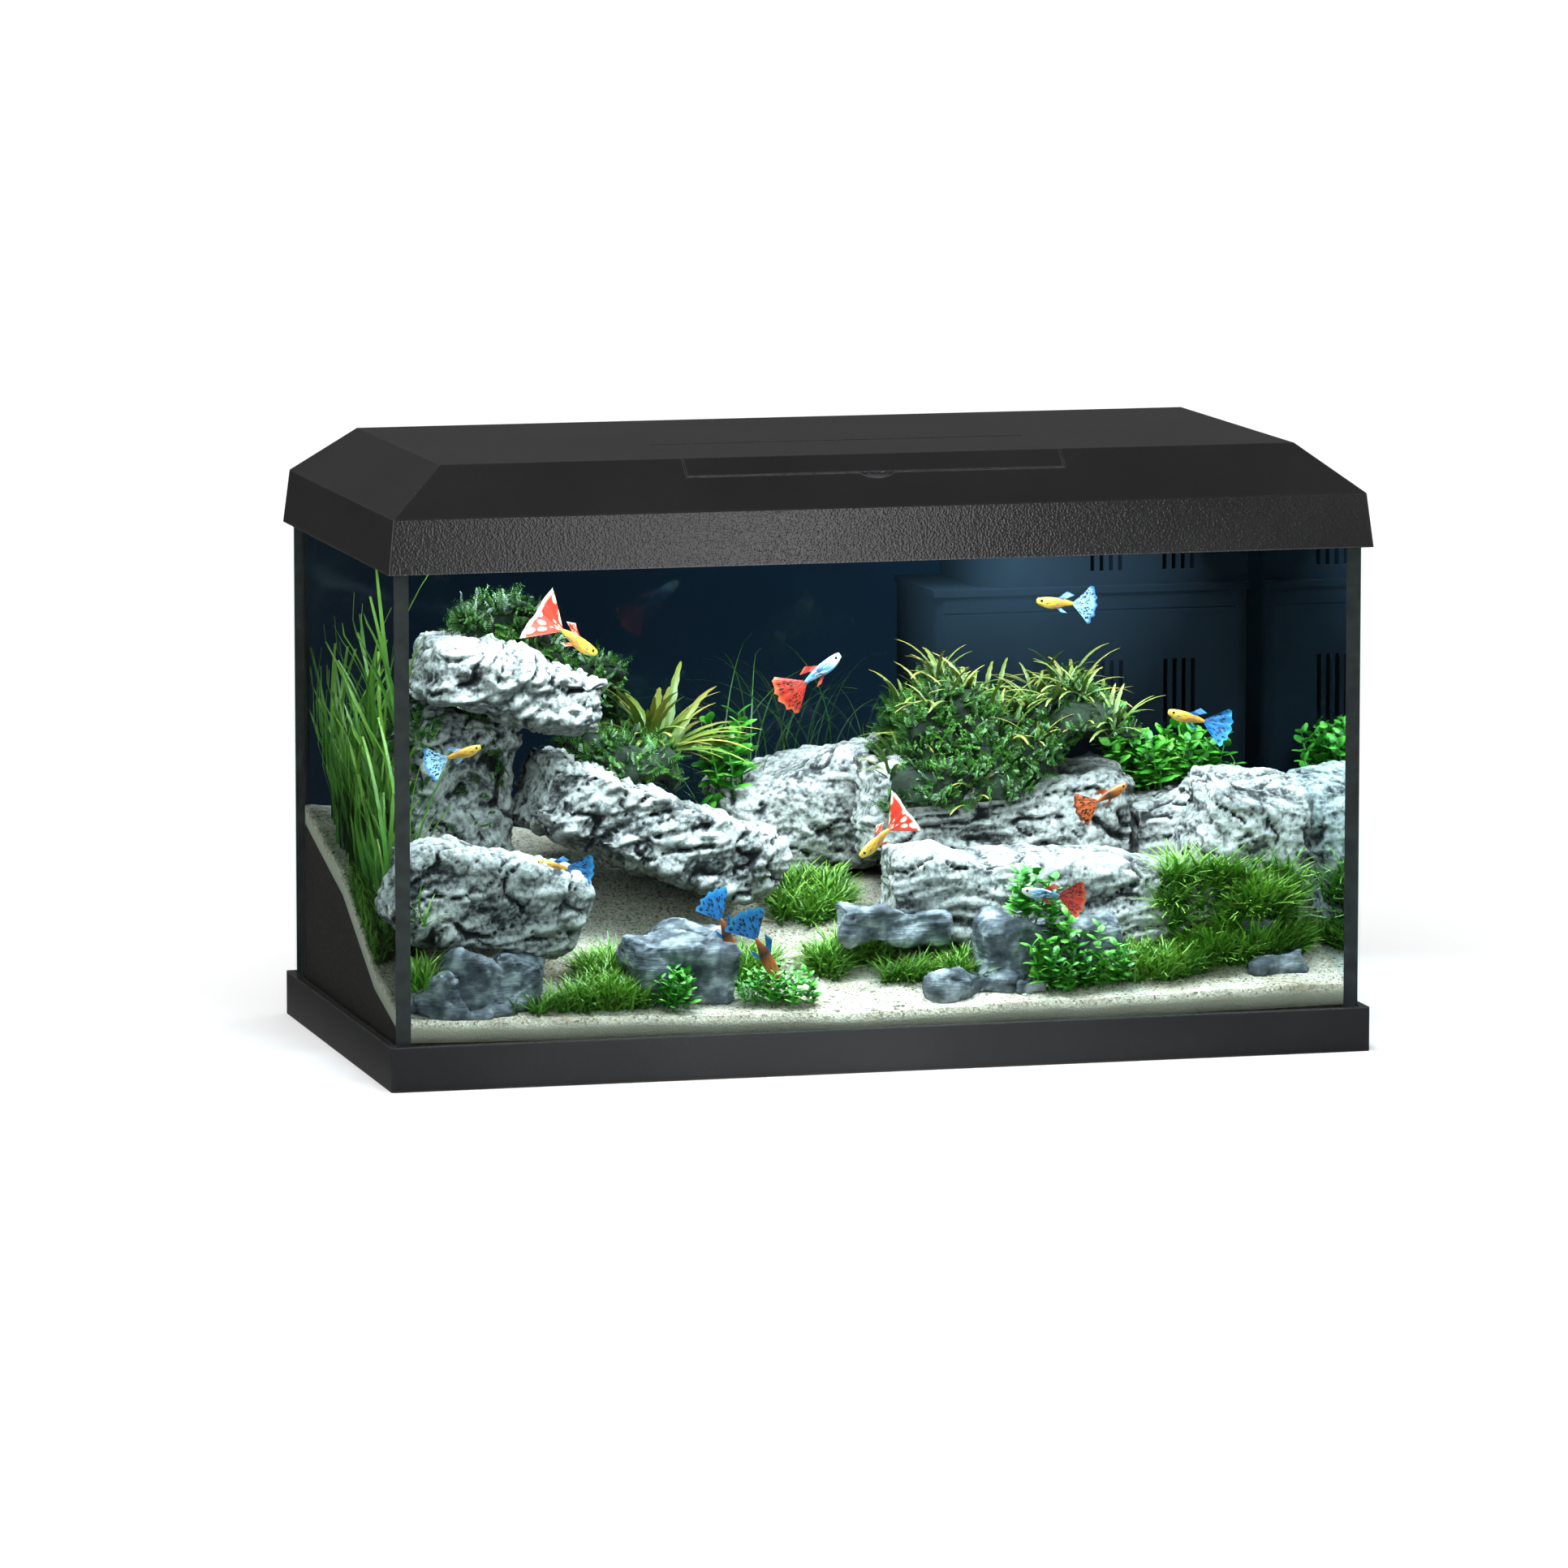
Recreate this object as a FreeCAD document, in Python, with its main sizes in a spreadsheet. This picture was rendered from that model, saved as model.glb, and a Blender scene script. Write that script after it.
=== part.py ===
"""Hooded glass aquarium on its own base frame, with its lamp, filter, heater and planted rockwork.

A FreeCAD 1.1 macro in millimetres. The origin is the middle of the base frame's underside:
+X is the tank's right, -Y its front and +Z is up. Every sub-part is exported to parts/LABEL.step.
"""
import FreeCAD, Part
import math
import os
import random
import re
from itertools import product

import Sketcher
from FreeCAD import Placement, Rotation, Vector

# ---------------------------------------------------------------- driving dimensions

SIZES = {
    "whole object": {
        "full_long": 610,
        "full_deep": 310,
        "full_tall": 370,
    },
    "base frame": {
        "frame_tall": 27,
        "frame_wall": 4.5,
        "frame_round": 2,
        "ledge_top": 10,
        "ledge_wide": 20,
        "relief_deep": 6,
        "relief_wide": 12,
    },
    "glass tank": {
        "tank_long": 600,
        "tank_deep": 300,
        "rim": 318,
        "pane": 5,
        "seam": 1,
        "bead": 4,
        "film": 0.4,
    },
    "hood": {
        "skirt": 309,
        "shoulder": 341.5,
        "shell": 2.5,
        "band_lean": 3.6,
        "slope_long": 35.6,
        "slope_deep": 34.4,
        "slope_wall": 3.9,
        "hood_round": 1.2,
        "rest_tall": 3,
        "rest_reach": 4,
        "cable_gap_x": 225,
        "cable_gap_wide": 40,
        "gland_x": -200,
        "gland_z": 330,
        "gland_hole": 5,
    },
    "feeding flap": {
        "flap_wide": 234,
        "flap_gap": 0.5,
        "flap_front": -128.4,
        "flap_back": -30.2,
        "hinge_y": -34.2,
        "hinge_z": 367,
        "barrel": 3,
        "pin_radius": 1,
        "pin_long": 12,
        "pin_play": 0.05,
        "lug_wide": 5,
        "notch_radius": 19,
        "notch_front": -132.4,
    },
    "lamp": {
        "lamp_long": 500,
        "lamp_wide": 40,
        "lamp_low": 345,
        "lamp_top": 357,
        "lamp_wall": 1.5,
        "lens_thick": 2,
        "board_thick": 1.2,
        "cap_thick": 3,
        "bracket_x": 180,
        "bracket_wide": 14,
        "bracket_thick": 2,
        "screw_y": 27,
        "screw_radius": 1.5,
        "boss_radius": 4,
    },
    "filter housing": {
        "box_left": 86,
        "box_right": 290,
        "box_front": 48,
        "box_back": 139,
        "box_floor": 118,
        "box_shoulder": 266,
        "box_top": 330,
        "box_wall": 2.5,
        "box_round": 8,
        "head_left": 114,
        "head_front": 51,
        "head_round": 26,
        "head_round_inside": 23.5,
        "divider_left": 218,
        "divider_right": 222,
        "slot_wide": 3,
        "slot_pitch": 6,
        "slot_left": 187,
        "slot_right": 234,
        "slot_low_foot": 167,
        "slot_low_head": 219,
        "slot_high_foot": 275,
        "slot_high_head": 302,
        "pad_radius": 9,
        "pad_left": 130,
        "pad_right": 250,
        "pad_low": 150,
        "pad_high": 240,
        "side_pad_y": 95,
    },
    "media basket": {
        "basket_left": 126,
        "basket_right": 215.5,
        "basket_front": 62,
        "basket_back": 134,
        "basket_low": 124,
        "basket_top": 262,
        "basket_wall": 1.5,
        "handle_top": 300,
        "media_gap": 0.3,
        "coarse_tall": 50,
        "fine_tall": 36,
        "carbon_tall": 28,
        "floss_tall": 12,
        "floor_hole": 4,
        "floor_hole_pitch": 15,
        "handle_half": 5,
    },
    "pump": {
        "pump_x": 252,
        "pump_y": 78,
        "pump_half": 24,
        "pump_low": 124,
        "pump_top": 174,
        "cover_thick": 4,
        "well_low": 132,
        "well_radius": 11,
        "volute_low": 162,
        "volute_radius": 17,
        "magnet_radius": 10,
        "shaft_radius": 1.5,
        "rotor_play": 0.05,
        "foot_radius": 4,
        "inlet_radius": 3,
        "inlet_circle": 8,
        "riser_x": 263,
        "riser_y": 63,
        "riser_radius": 8,
        "riser_bore": 6,
        "riser_top": 306,
        "nozzle_z": 296,
        "nozzle_play": 0.05,
        "socket_radius": 7.2,
        "socket_bore": 5.2,
        "socket_front": 50,
    },
    "heater": {
        "heater_x": 242,
        "heater_y": 122,
        "heater_radius": 11,
        "heater_wall": 1.5,
        "heater_low": 128,
        "heater_top": 285,
        "cap_radius": 13,
        "cap_top": 308,
        "dial_radius": 9,
        "dial_top": 321,
        "spindle": 3,
        "flute": 1,
        "clip_low": 160,
        "clip_high": 245,
        "clip_tall": 8,
        "clip_wall": 2.5,
        "clip_arm_half": 4,
    },
    "ground": {
        "sand_thick": 12,
        "left_front": 40, "left_low": 60, "left_mid": 104, "left_back": 134,
        "path_front": 34, "path_low": 54, "path_mid": 90, "path_back": 92,
        "right_front": 40, "right_low": 60, "right_mid": 96, "right_back": 110,
        "path_x": -20,
        "low_y": -60,
        "mid_y": 30,
    },
}

# Rocks and stones: middle x, y, z, then length, depth, thickness, then lean in degrees (right end down).
ROCKS = {
    "rock_left_slab": (-116, -12, 134, 158, 92, 48, 22),
    "rock_left_back": (-232, 22, 148, 66, 96, 120, 8),
    "rock_left_top": (-204, -26, 226, 110, 88, 38, 14),
    "rock_left_front": (-234, -84, 104, 118, 66, 54, 12),
    "rock_centre_back": (14, 66, 128, 122, 74, 70, -12),
    "rock_mound": (112, 12, 134, 168, 92, 64, 4),
    "rock_ledge": (140, -52, 84, 224, 62, 58, 5),
    "rock_right": (224, 10, 112, 74, 62, 56, -10),
    "rock_right_peak": (256, -34, 108, 68, 82, 94, 12),
}
STONES = {
    "small_stones_left": (
        (-117, -108, 57, 68, 36, 44, 6),
        (-104, -76, 68, 44, 26, 24, -4),
        (-254, -122, 56, 36, 22, 40, 24),
        (-272, -132, 47, 32, 16, 34, -20),
        (-221, -117, 56, 30, 24, 36, 12),
        (-250, -135, 36, 16, 12, 14, 0),
        (-236, -131, 38, 16, 12, 14, 0),
    ),
    "small_stones_right": (
        (24, -84, 78, 68, 26, 22, 4),
        (100, -102, 62, 56, 30, 38, 8),
        (140, -98, 60, 46, 28, 36, -6),
        (48, -121, 46, 24, 18, 20, -20),
        (75, -118, 44, 32, 18, 16, 4),
        (98, -124, 41, 18, 14, 14, 0),
        (258, -112, 46, 36, 22, 22, -14),
        (250, -86, 62, 28, 26, 34, 10),
    ),
}
# Plants: middle x, y, then low z, top z, then width and depth at the foot, then how much the top narrows.
PLANTS = {
    "moss_top": ((-212, -22, 232, 284, 78, 62, 0.55),),
    "moss_slab": ((-128, -14, 132, 192, 78, 56, 0.7), (-134, 44, 130, 230, 60, 36, 0.6)),
    "fern_left": ((-100, 24, 120, 230, 34, 34, 1.7),),
    "hairgrass": ((12, 118, 86, 220, 116, 36, 1.0),),
    "moss_mound": ((110, 4, 140, 224, 168, 92, 0.72),),
    "broadleaf_back": ((-52, 44, 80, 170, 38, 30, 1.1), (242, 30, 100, 165, 96, 26, 1.0)),
    "grass_left": ((-190, -118, 36, 82, 184, 34, 0.94),),
    "grass_right": (
        (36, -96, 40, 104, 96, 36, 0.9),
        (232, -72, 48, 122, 88, 40, 0.9),
        (-14, 6, 70, 130, 52, 40, 0.9),
    ),
    "broadleaf_front": ((124, -128, 36, 96, 60, 18, 1.1), (-64, -122, 34, 68, 52, 24, 1.1)),
}
ROCK_FIELDS = ("x", "y", "z", "long", "deep", "thick", "lean")
PLANT_FIELDS = ("x", "y", "low", "top", "wide", "deep", "spread")

# ---------------------------------------------------------------- document and spreadsheet

doc = FreeCAD.newDocument("aquarium")
sheet = doc.addObject("Spreadsheet::Sheet", "Sizes")
aliases = set()
nodes = []


def letters(number):
    """Spells a count as a letter, because an alias that ends in a digit may read as a cell address."""
    return "abcdefghijkl"[number]


def decor_cells(pieces, fields):
    """The cells of a decor table: one for each piece and field."""
    cells = {}
    for name, rows in pieces.items():
        for number, row in enumerate(rows):
            for field, value in zip(fields, row):
                cells[f"{name}_{letters(number)}_{field}"] = value
    return cells


def fill_sheet(groups):
    """Writes every driving dimension as a plain number beside its name, and makes the name its alias."""
    row = 1
    for heading, values in groups.items():
        sheet.set(f"A{row}", heading)
        row += 1
        for alias, value in values.items():
            sheet.set(f"A{row}", alias)
            sheet.set(f"B{row}", str(value))
            sheet.setAlias(f"B{row}", alias)
            aliases.add(alias)
            row += 1


SIZES["rocks"] = decor_cells({name: (row,) for name, row in ROCKS.items()}, ROCK_FIELDS)
SIZES["stones"] = decor_cells(STONES, ROCK_FIELDS)
SIZES["plants"] = decor_cells(PLANTS, PLANT_FIELDS)
fill_sheet(SIZES)
doc.recompute()


def size(alias):
    """A cell's number."""
    return float(sheet.get(alias))


def row_of(name, number, fields):
    """The numbers of one decor piece, read back from the sheet."""
    return [size(f"{name}_{letters(number)}_{field}") for field in fields]


def bind(item, prop, text):
    """Binds a property to an expression whose words are the sheet's aliases."""

    def cell(word):
        return "Sizes." + word.group() if word.group() in aliases else word.group()

    item.setExpression(prop, re.sub(r"[a-z_]+", cell, str(text)))


def node(item, label):
    """Names a finished sub-part and puts it on the export list."""
    item.Label = label
    nodes.append(item)
    return item


# ---------------------------------------------------------------- primitives and booleans

ALONG = {
    "x": Rotation(Vector(0, 1, 0), 90),
    "y": Rotation(Vector(1, 0, 0), -90),
    "z": Rotation(),
}


def move(item, place):
    for axis, text in zip("xyz", place):
        bind(item, f"Placement.Base.{axis}", text)


def block(name, low, high):
    """A box between two corners, each given as three expressions."""
    item = doc.addObject("Part::Box", name)
    for prop, start, end in zip(("Length", "Width", "Height"), low, high):
        bind(item, prop, f"({end}) - ({start})")
    move(item, low)
    return item


def centred(name, long, deep, low, high):
    """A box centred on the vertical axis, between two heights."""
    return block(
        name,
        (f"-({long}) / 2", f"-({deep}) / 2", low),
        (f"({long}) / 2", f"({deep}) / 2", high),
    )


def rod(name, radius, start, length, along="z"):
    """A cylinder that starts at a point and runs along an axis."""
    item = doc.addObject("Part::Cylinder", name)
    item.Placement = Placement(Vector(), ALONG[along])
    bind(item, "Radius", radius)
    bind(item, "Height", length)
    move(item, start)
    return item


def taper(name, low_half, high_half, low, high, middle=("0", "0")):
    """A four-sided frustum between two rectangles, given by their half sizes along X and Y."""
    item = doc.addObject("Part::Wedge", name)
    item.Placement = Placement(Vector(), Rotation(Vector(1, 0, 0), 90))
    for prop, text in {
        "Xmin": f"-({low_half[0]})",
        "Xmax": low_half[0],
        "Zmin": f"-({low_half[1]})",
        "Zmax": low_half[1],
        "X2min": f"-({high_half[0]})",
        "X2max": high_half[0],
        "Z2min": f"-({high_half[1]})",
        "Z2max": high_half[1],
        "Ymin": low,
        "Ymax": high,
    }.items():
        bind(item, prop, text)
    move(item, (*middle, "0"))
    return item


def fuse(name, *items):
    joined = doc.addObject("Part::MultiFuse", name)
    joined.Shapes = list(items)
    joined.Refine = True
    return joined


def cut(name, base, *tools):
    item = doc.addObject("Part::Cut", name)
    item.Base = base
    item.Tool = tools[0] if len(tools) == 1 else fuse(name + "_tools", *tools)
    return item


def common(name, *items):
    shared = doc.addObject("Part::MultiCommon", name)
    shared.Shapes = list(items)
    return shared


def rounded(name, base, radius, wanted):
    """Rounds the edges of a finished shape that a test picks."""
    doc.recompute()
    item = doc.addObject("Part::Fillet", name)
    item.Base = base
    item.Edges = [
        (number, size(radius), size(radius))
        for number, edge in enumerate(base.Shape.Edges, 1)
        if wanted(edge)
    ]
    return item


def upright(edge):
    """Whether an edge runs straight up."""
    if len(edge.Vertexes) != 2:
        return False
    run = edge.Vertexes[0].Point - edge.Vertexes[1].Point
    return abs(run.z) > 1 and run.cross(Vector(0, 0, 1)).Length < 0.01


# ---------------------------------------------------------------- base frame (PartDesign)


def add_rectangle(sketch, number, long, deep):
    """Adds a rectangle centred on the sketch's origin, its sides bound to the sheet."""
    first = sketch.GeometryCount
    corners = [Vector(-100, -50), Vector(100, -50), Vector(100, 50), Vector(-100, 50)]
    for start, end in zip(corners, corners[1:] + corners[:1]):
        sketch.addGeometry(Part.LineSegment(start, end), False)
    for side in range(4):
        sketch.addConstraint(Sketcher.Constraint("Coincident", first + side, 2, first + (side + 1) % 4, 1))
        kind = "Horizontal" if side % 2 == 0 else "Vertical"
        sketch.addConstraint(Sketcher.Constraint(kind, first + side))
    sketch.addConstraint(Sketcher.Constraint("Symmetric", first, 1, first + 2, 1, -1, 1))
    for name, kind, side, guess, text in (
        (f"long_{letters(number)}", "DistanceX", first, 200, long),
        (f"deep_{letters(number)}", "DistanceY", first + 1, 100, deep),
    ):
        constraint = sketch.addConstraint(Sketcher.Constraint(kind, side, 1, side, 2, guess))
        sketch.renameConstraint(constraint, name)
        bind(sketch, f"Constraints.{name}", text)


def level_sketch(body, name, level, *rectangles):
    """A horizontal sketch of centred rectangles on the body's own XY plane, raised to a level."""
    sketch = body.newObject("Sketcher::SketchObject", name)
    plane = next(feature for feature in body.Origin.OriginFeatures if feature.Role == "XY_Plane")
    sketch.AttachmentSupport = [(plane, "")]
    sketch.MapMode = "FlatFace"
    bind(sketch, "AttachmentOffset.Base.z", level)
    for number, (long, deep) in enumerate(rectangles):
        add_rectangle(sketch, number, long, deep)
    return sketch


def pocket(body, sketch, depth, upward=False):
    item = body.newObject("PartDesign::Pocket", sketch.Name + "_pocket")
    item.Profile = sketch
    item.Reversed = upward
    bind(item, "Length", depth)
    return item


def base_frame():
    """A moulded frame: a wall around the glass, a ledge that carries it, and a hollow underside."""
    body = doc.addObject("PartDesign::Body", "base_frame_body")
    outline = level_sketch(body, "outline", "0", ("full_long", "full_deep"))
    pad = body.newObject("PartDesign::Pad", "outline_pad")
    pad.Profile = outline
    bind(pad, "Length", "frame_tall")
    doc.recompute()
    corners = [f"Edge{number}" for number, edge in enumerate(pad.Shape.Edges, 1) if upright(edge)]
    fillet = body.newObject("PartDesign::Fillet", "corner_fillet")
    fillet.Base = (pad, corners)
    bind(fillet, "Radius", "frame_round")
    inside = ("full_long - 2 * frame_wall", "full_deep - 2 * frame_wall")
    window = tuple(f"{side} - 2 * ledge_wide" for side in inside)
    relief = tuple(f"{side} - 2 * relief_wide" for side in inside)
    pocket(body, level_sketch(body, "glass_seat", "frame_tall", inside), "frame_tall - ledge_top")
    pocket(body, level_sketch(body, "window", "ledge_top", window), "ledge_top")
    pocket(body, level_sketch(body, "relief", "0", inside, relief), "relief_deep", upward=True)
    node(body, "base_frame")


# ---------------------------------------------------------------- glass tank

INSIDE_X = "(tank_long / 2 - pane)"
INSIDE_Y = "(tank_deep / 2 - pane)"
FLOOR = "(ledge_top + pane)"
GLASS_LOW = "(ledge_top + pane + seam)"


def tank():
    """Five panes of float glass: the walls stand on the bottom pane, the ends between front and back."""
    node(centred("bottom_glass", "tank_long", "tank_deep", "ledge_top", FLOOR), "bottom_pane")
    for side, label in ((-1, "front_pane"), (1, "back_pane")):
        middle = f"{side} * (tank_deep - pane) / 2"
        low = ("-tank_long / 2", f"{middle} - pane / 2", GLASS_LOW)
        high = ("tank_long / 2", f"{middle} + pane / 2", "rim")
        node(block(label + "_glass", low, high), label)
    for side, label in ((-1, "left_pane"), (1, "right_pane")):
        middle = f"{side} * (tank_long - pane) / 2"
        reach = f"({INSIDE_Y} - seam)"
        low = (f"{middle} - pane / 2", f"-{reach}", GLASS_LOW)
        high = (f"{middle} + pane / 2", reach, "rim")
        node(block(label + "_glass", low, high), label)
    film = block(
        "film_sheet",
        ("-tank_long / 2 + 1", "tank_deep / 2", GLASS_LOW),
        ("tank_long / 2 - 1", "tank_deep / 2 + film", "rim - 2"),
    )
    node(film, "background_film")


def seams():
    """Black silicone: a bed under the walls, and up each corner a joint and a hollow bead."""
    bed = cut(
        "seam_bed",
        centred("seam_bed_sheet", "tank_long", "tank_deep", FLOOR, GLASS_LOW),
        centred("seam_bed_window", "tank_long - 2 * pane", "tank_deep - 2 * pane", FLOOR, GLASS_LOW),
    )
    pieces = [bed]
    for right, back in product((-1, 1), repeat=2):
        corner = f"{'right' if right > 0 else 'left'}_{'back' if back > 0 else 'front'}"
        joint_x = f"{right} * (tank_long - pane) / 2"
        joint_y = f"{back} * ({INSIDE_Y} - seam / 2)"
        pieces.append(
            block(
                "seam_joint_" + corner,
                (f"{joint_x} - pane / 2", f"{joint_y} - seam / 2", GLASS_LOW),
                (f"{joint_x} + pane / 2", f"{joint_y} + seam / 2", "rim"),
            )
        )
        bead_x = f"{right} * ({INSIDE_X} - bead / 2)"
        bead_y = f"{back} * ({INSIDE_Y} - bead / 2)"
        stick = block(
            "seam_stick_" + corner,
            (f"{bead_x} - bead / 2", f"{bead_y} - bead / 2", FLOOR),
            (f"{bead_x} + bead / 2", f"{bead_y} + bead / 2", "rim"),
        )
        hollow = rod(
            "seam_hollow_" + corner,
            "bead - 0.2",
            (f"{right} * ({INSIDE_X} - bead)", f"{back} * ({INSIDE_Y} - bead)", FLOOR),
            f"rim - {FLOOR}",
        )
        pieces.append(cut("seam_bead_" + corner, stick, hollow))
    return node(fuse("seam_set", *pieces), "silicone_seams")


# ---------------------------------------------------------------- hood and feeding flap


def hood_skin():
    """The moulded shell: an upright band, four slopes and a flat top, all of one thin wall."""
    half = ("full_long / 2", "full_deep / 2")
    band = tuple(f"{side} - band_lean" for side in half)
    top = (f"{band[0]} - slope_long", f"{band[1]} - slope_deep")
    outer = fuse(
        "hood_outer",
        taper("hood_band", half, band, "skirt", "shoulder"),
        taper("hood_slopes", band, top, "shoulder", "full_tall"),
    )

    def crease(edge):
        return min(vertex.Point.z for vertex in edge.Vertexes) > size("shoulder") - 0.1 or not flat(edge)

    def flat(edge):
        heights = [vertex.Point.z for vertex in edge.Vertexes]
        return abs(heights[0] - heights[1]) < 0.1

    soft = rounded("hood_softened", outer, "hood_round", crease)
    skirt_inside = tuple(f"{side} - shell" for side in half)
    band_inside = tuple(f"{side} - shell" for side in band)
    rise = "(full_tall - shell - shoulder) / (full_tall - shoulder)"
    top_inside = (
        f"{band[0]} - slope_long * {rise} - slope_wall",
        f"{band[1]} - slope_deep * {rise} - slope_wall",
    )
    hollow = fuse(
        "hood_hollow",
        taper("hood_band_hollow", skirt_inside, band_inside, "skirt", "shoulder"),
        taper("hood_slopes_hollow", band_inside, top_inside, "shoulder", "full_tall - shell"),
    )
    return cut("hood_skin", soft, hollow)


def gland_axis(item, offset):
    """Stands a rod square to the hood's leaning rear band, at the cable gland."""
    lean = "atan(band_lean / (shoulder - skirt))"
    item.Placement = Placement(Vector(), Rotation(Vector(-1, 0, 0), 90))
    bind(item, "Placement.Rotation.Angle", f"90 deg - {lean}")
    wall = "(full_deep / 2 - band_lean * (gland_z - skirt) / (shoulder - skirt))"
    move(item, ("gland_x", f"{wall} + ({offset}) * cos({lean})", f"gland_z + ({offset}) * sin({lean})"))
    return item


def hood(skin):
    """The shell with the ledge that rests on the glass, screw bosses, flap opening and cable gap."""
    ledge = cut(
        "hood_ledge",
        centred("hood_ledge_plate", "full_long - 4", "full_deep - 4", "rim", "rim + rest_tall"),
        centred(
            "hood_ledge_window",
            f"2 * ({INSIDE_X} - rest_reach)",
            f"2 * ({INSIDE_Y} - rest_reach)",
            "rim",
            "rim + rest_tall",
        ),
    )
    under = "full_tall - shell"
    added = [skin, ledge]
    removed = []
    for side in (-1, 1):
        hand = "right" if side > 0 else "left"
        for back in (-1, 1):
            spot = (f"{side} * bracket_x", f"{back} * screw_y")
            name = f"{hand}_{'back' if back > 0 else 'front'}"
            boss_low = "lamp_top + bracket_thick"
            added.append(rod("boss_" + name, "boss_radius", (*spot, boss_low), f"{under} + 1 - ({boss_low})"))
            removed.append(rod("boss_hole_" + name, "screw_radius", (*spot, boss_low), "8"))
        edge = "(flap_wide / 2 + flap_gap)"
        middle = f"{side} * ({edge} + lug_wide / 2)"
        added.append(
            block(
                f"lug_{hand}",
                (f"{middle} - lug_wide / 2", "hinge_y - 5", "hinge_z - 4"),
                (f"{middle} + lug_wide / 2", "flap_back + 1", f"{under} + 0.5"),
            )
        )
        added.append(
            block(
                f"shelf_root_{hand}",
                (f"{middle} - lug_wide / 2", "flap_front + 14", f"{under} - 2.6"),
                (f"{middle} + lug_wide / 2", "hinge_y - 10", f"{under} + 0.5"),
            )
        )
        shelf = f"{side} * ({edge} - lug_wide / 2)"
        added.append(
            block(
                f"shelf_{hand}",
                (f"{shelf} - lug_wide / 2", "flap_front + 14", f"{under} - 2.6"),
                (f"{shelf} + lug_wide / 2", "hinge_y - 10", f"{under} - 0.3"),
            )
        )
    opening = block(
        "flap_opening",
        (f"-{edge}", "flap_front - flap_gap", "shoulder"),
        (edge, "flap_back", "full_tall + 1"),
    )
    notch = rod("finger_notch", "notch_radius", ("0", "notch_front + notch_radius", "shoulder"), "40")
    cable_gap = block(
        "cable_gap",
        ("cable_gap_x - cable_gap_wide / 2", f"{INSIDE_Y} - 6", "skirt"),
        ("cable_gap_x + cable_gap_wide / 2", "full_deep / 2 + 1", "skirt + 17"),
    )
    removed.append(cable_gap)
    removed.append(gland_axis(rod("gland_hole_tool", "gland_hole", ("0", "0", "0"), "12"), "-6"))
    for side, hand in ((-1, "left"), (1, "right")):
        removed.append(
            rod(
                "pin_hole_" + hand,
                "pin_radius",
                (f"{side} * ({edge} + 2) - 2", "hinge_y", "hinge_z"),
                "4",
                "x",
            )
        )
    opened = cut("hood_opened", skin, opening, notch)
    added[0] = opened
    node(cut("hood_finished", fuse("hood_added", *added), *removed), "hood_shell")


def flap(skin):
    """The feeding flap is cut from the same skin, so it lies flush, and rolls into a barrel behind."""
    reach = block(
        "flap_reach",
        ("-flap_wide / 2", "flap_front", "shoulder"),
        ("flap_wide / 2", "hinge_y", "full_tall + 1"),
    )
    plate = common("flap_plate", skin, reach)
    barrel = rod(
        "flap_barrel",
        "barrel",
        ("-flap_wide / 2", "hinge_y", "hinge_z"),
        "flap_wide",
        "x",
    )
    bores = []
    for side, hand in ((-1, "left"), (1, "right")):
        bores.append(
            rod(
                "barrel_bore_" + hand,
                "pin_radius + pin_play",
                (f"{side} * (flap_wide / 2 - 4.5) - 5", "hinge_y", "hinge_z"),
                "10",
                "x",
            )
        )
    node(cut("flap_finished", fuse("flap_body", plate, barrel), *bores), "feeding_flap")
    pins = []
    for side, hand in ((-1, "left"), (1, "right")):
        outer = "(flap_wide / 2 + flap_gap + 4)"
        start = f"{side} * ({outer} - pin_long / 2) - pin_long / 2"
        pins.append(rod("pin_" + hand, "pin_radius", (start, "hinge_y", "hinge_z"), "pin_long", "x"))
    node(fuse("pin_pair", *pins), "flap_hinge_pins")


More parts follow.
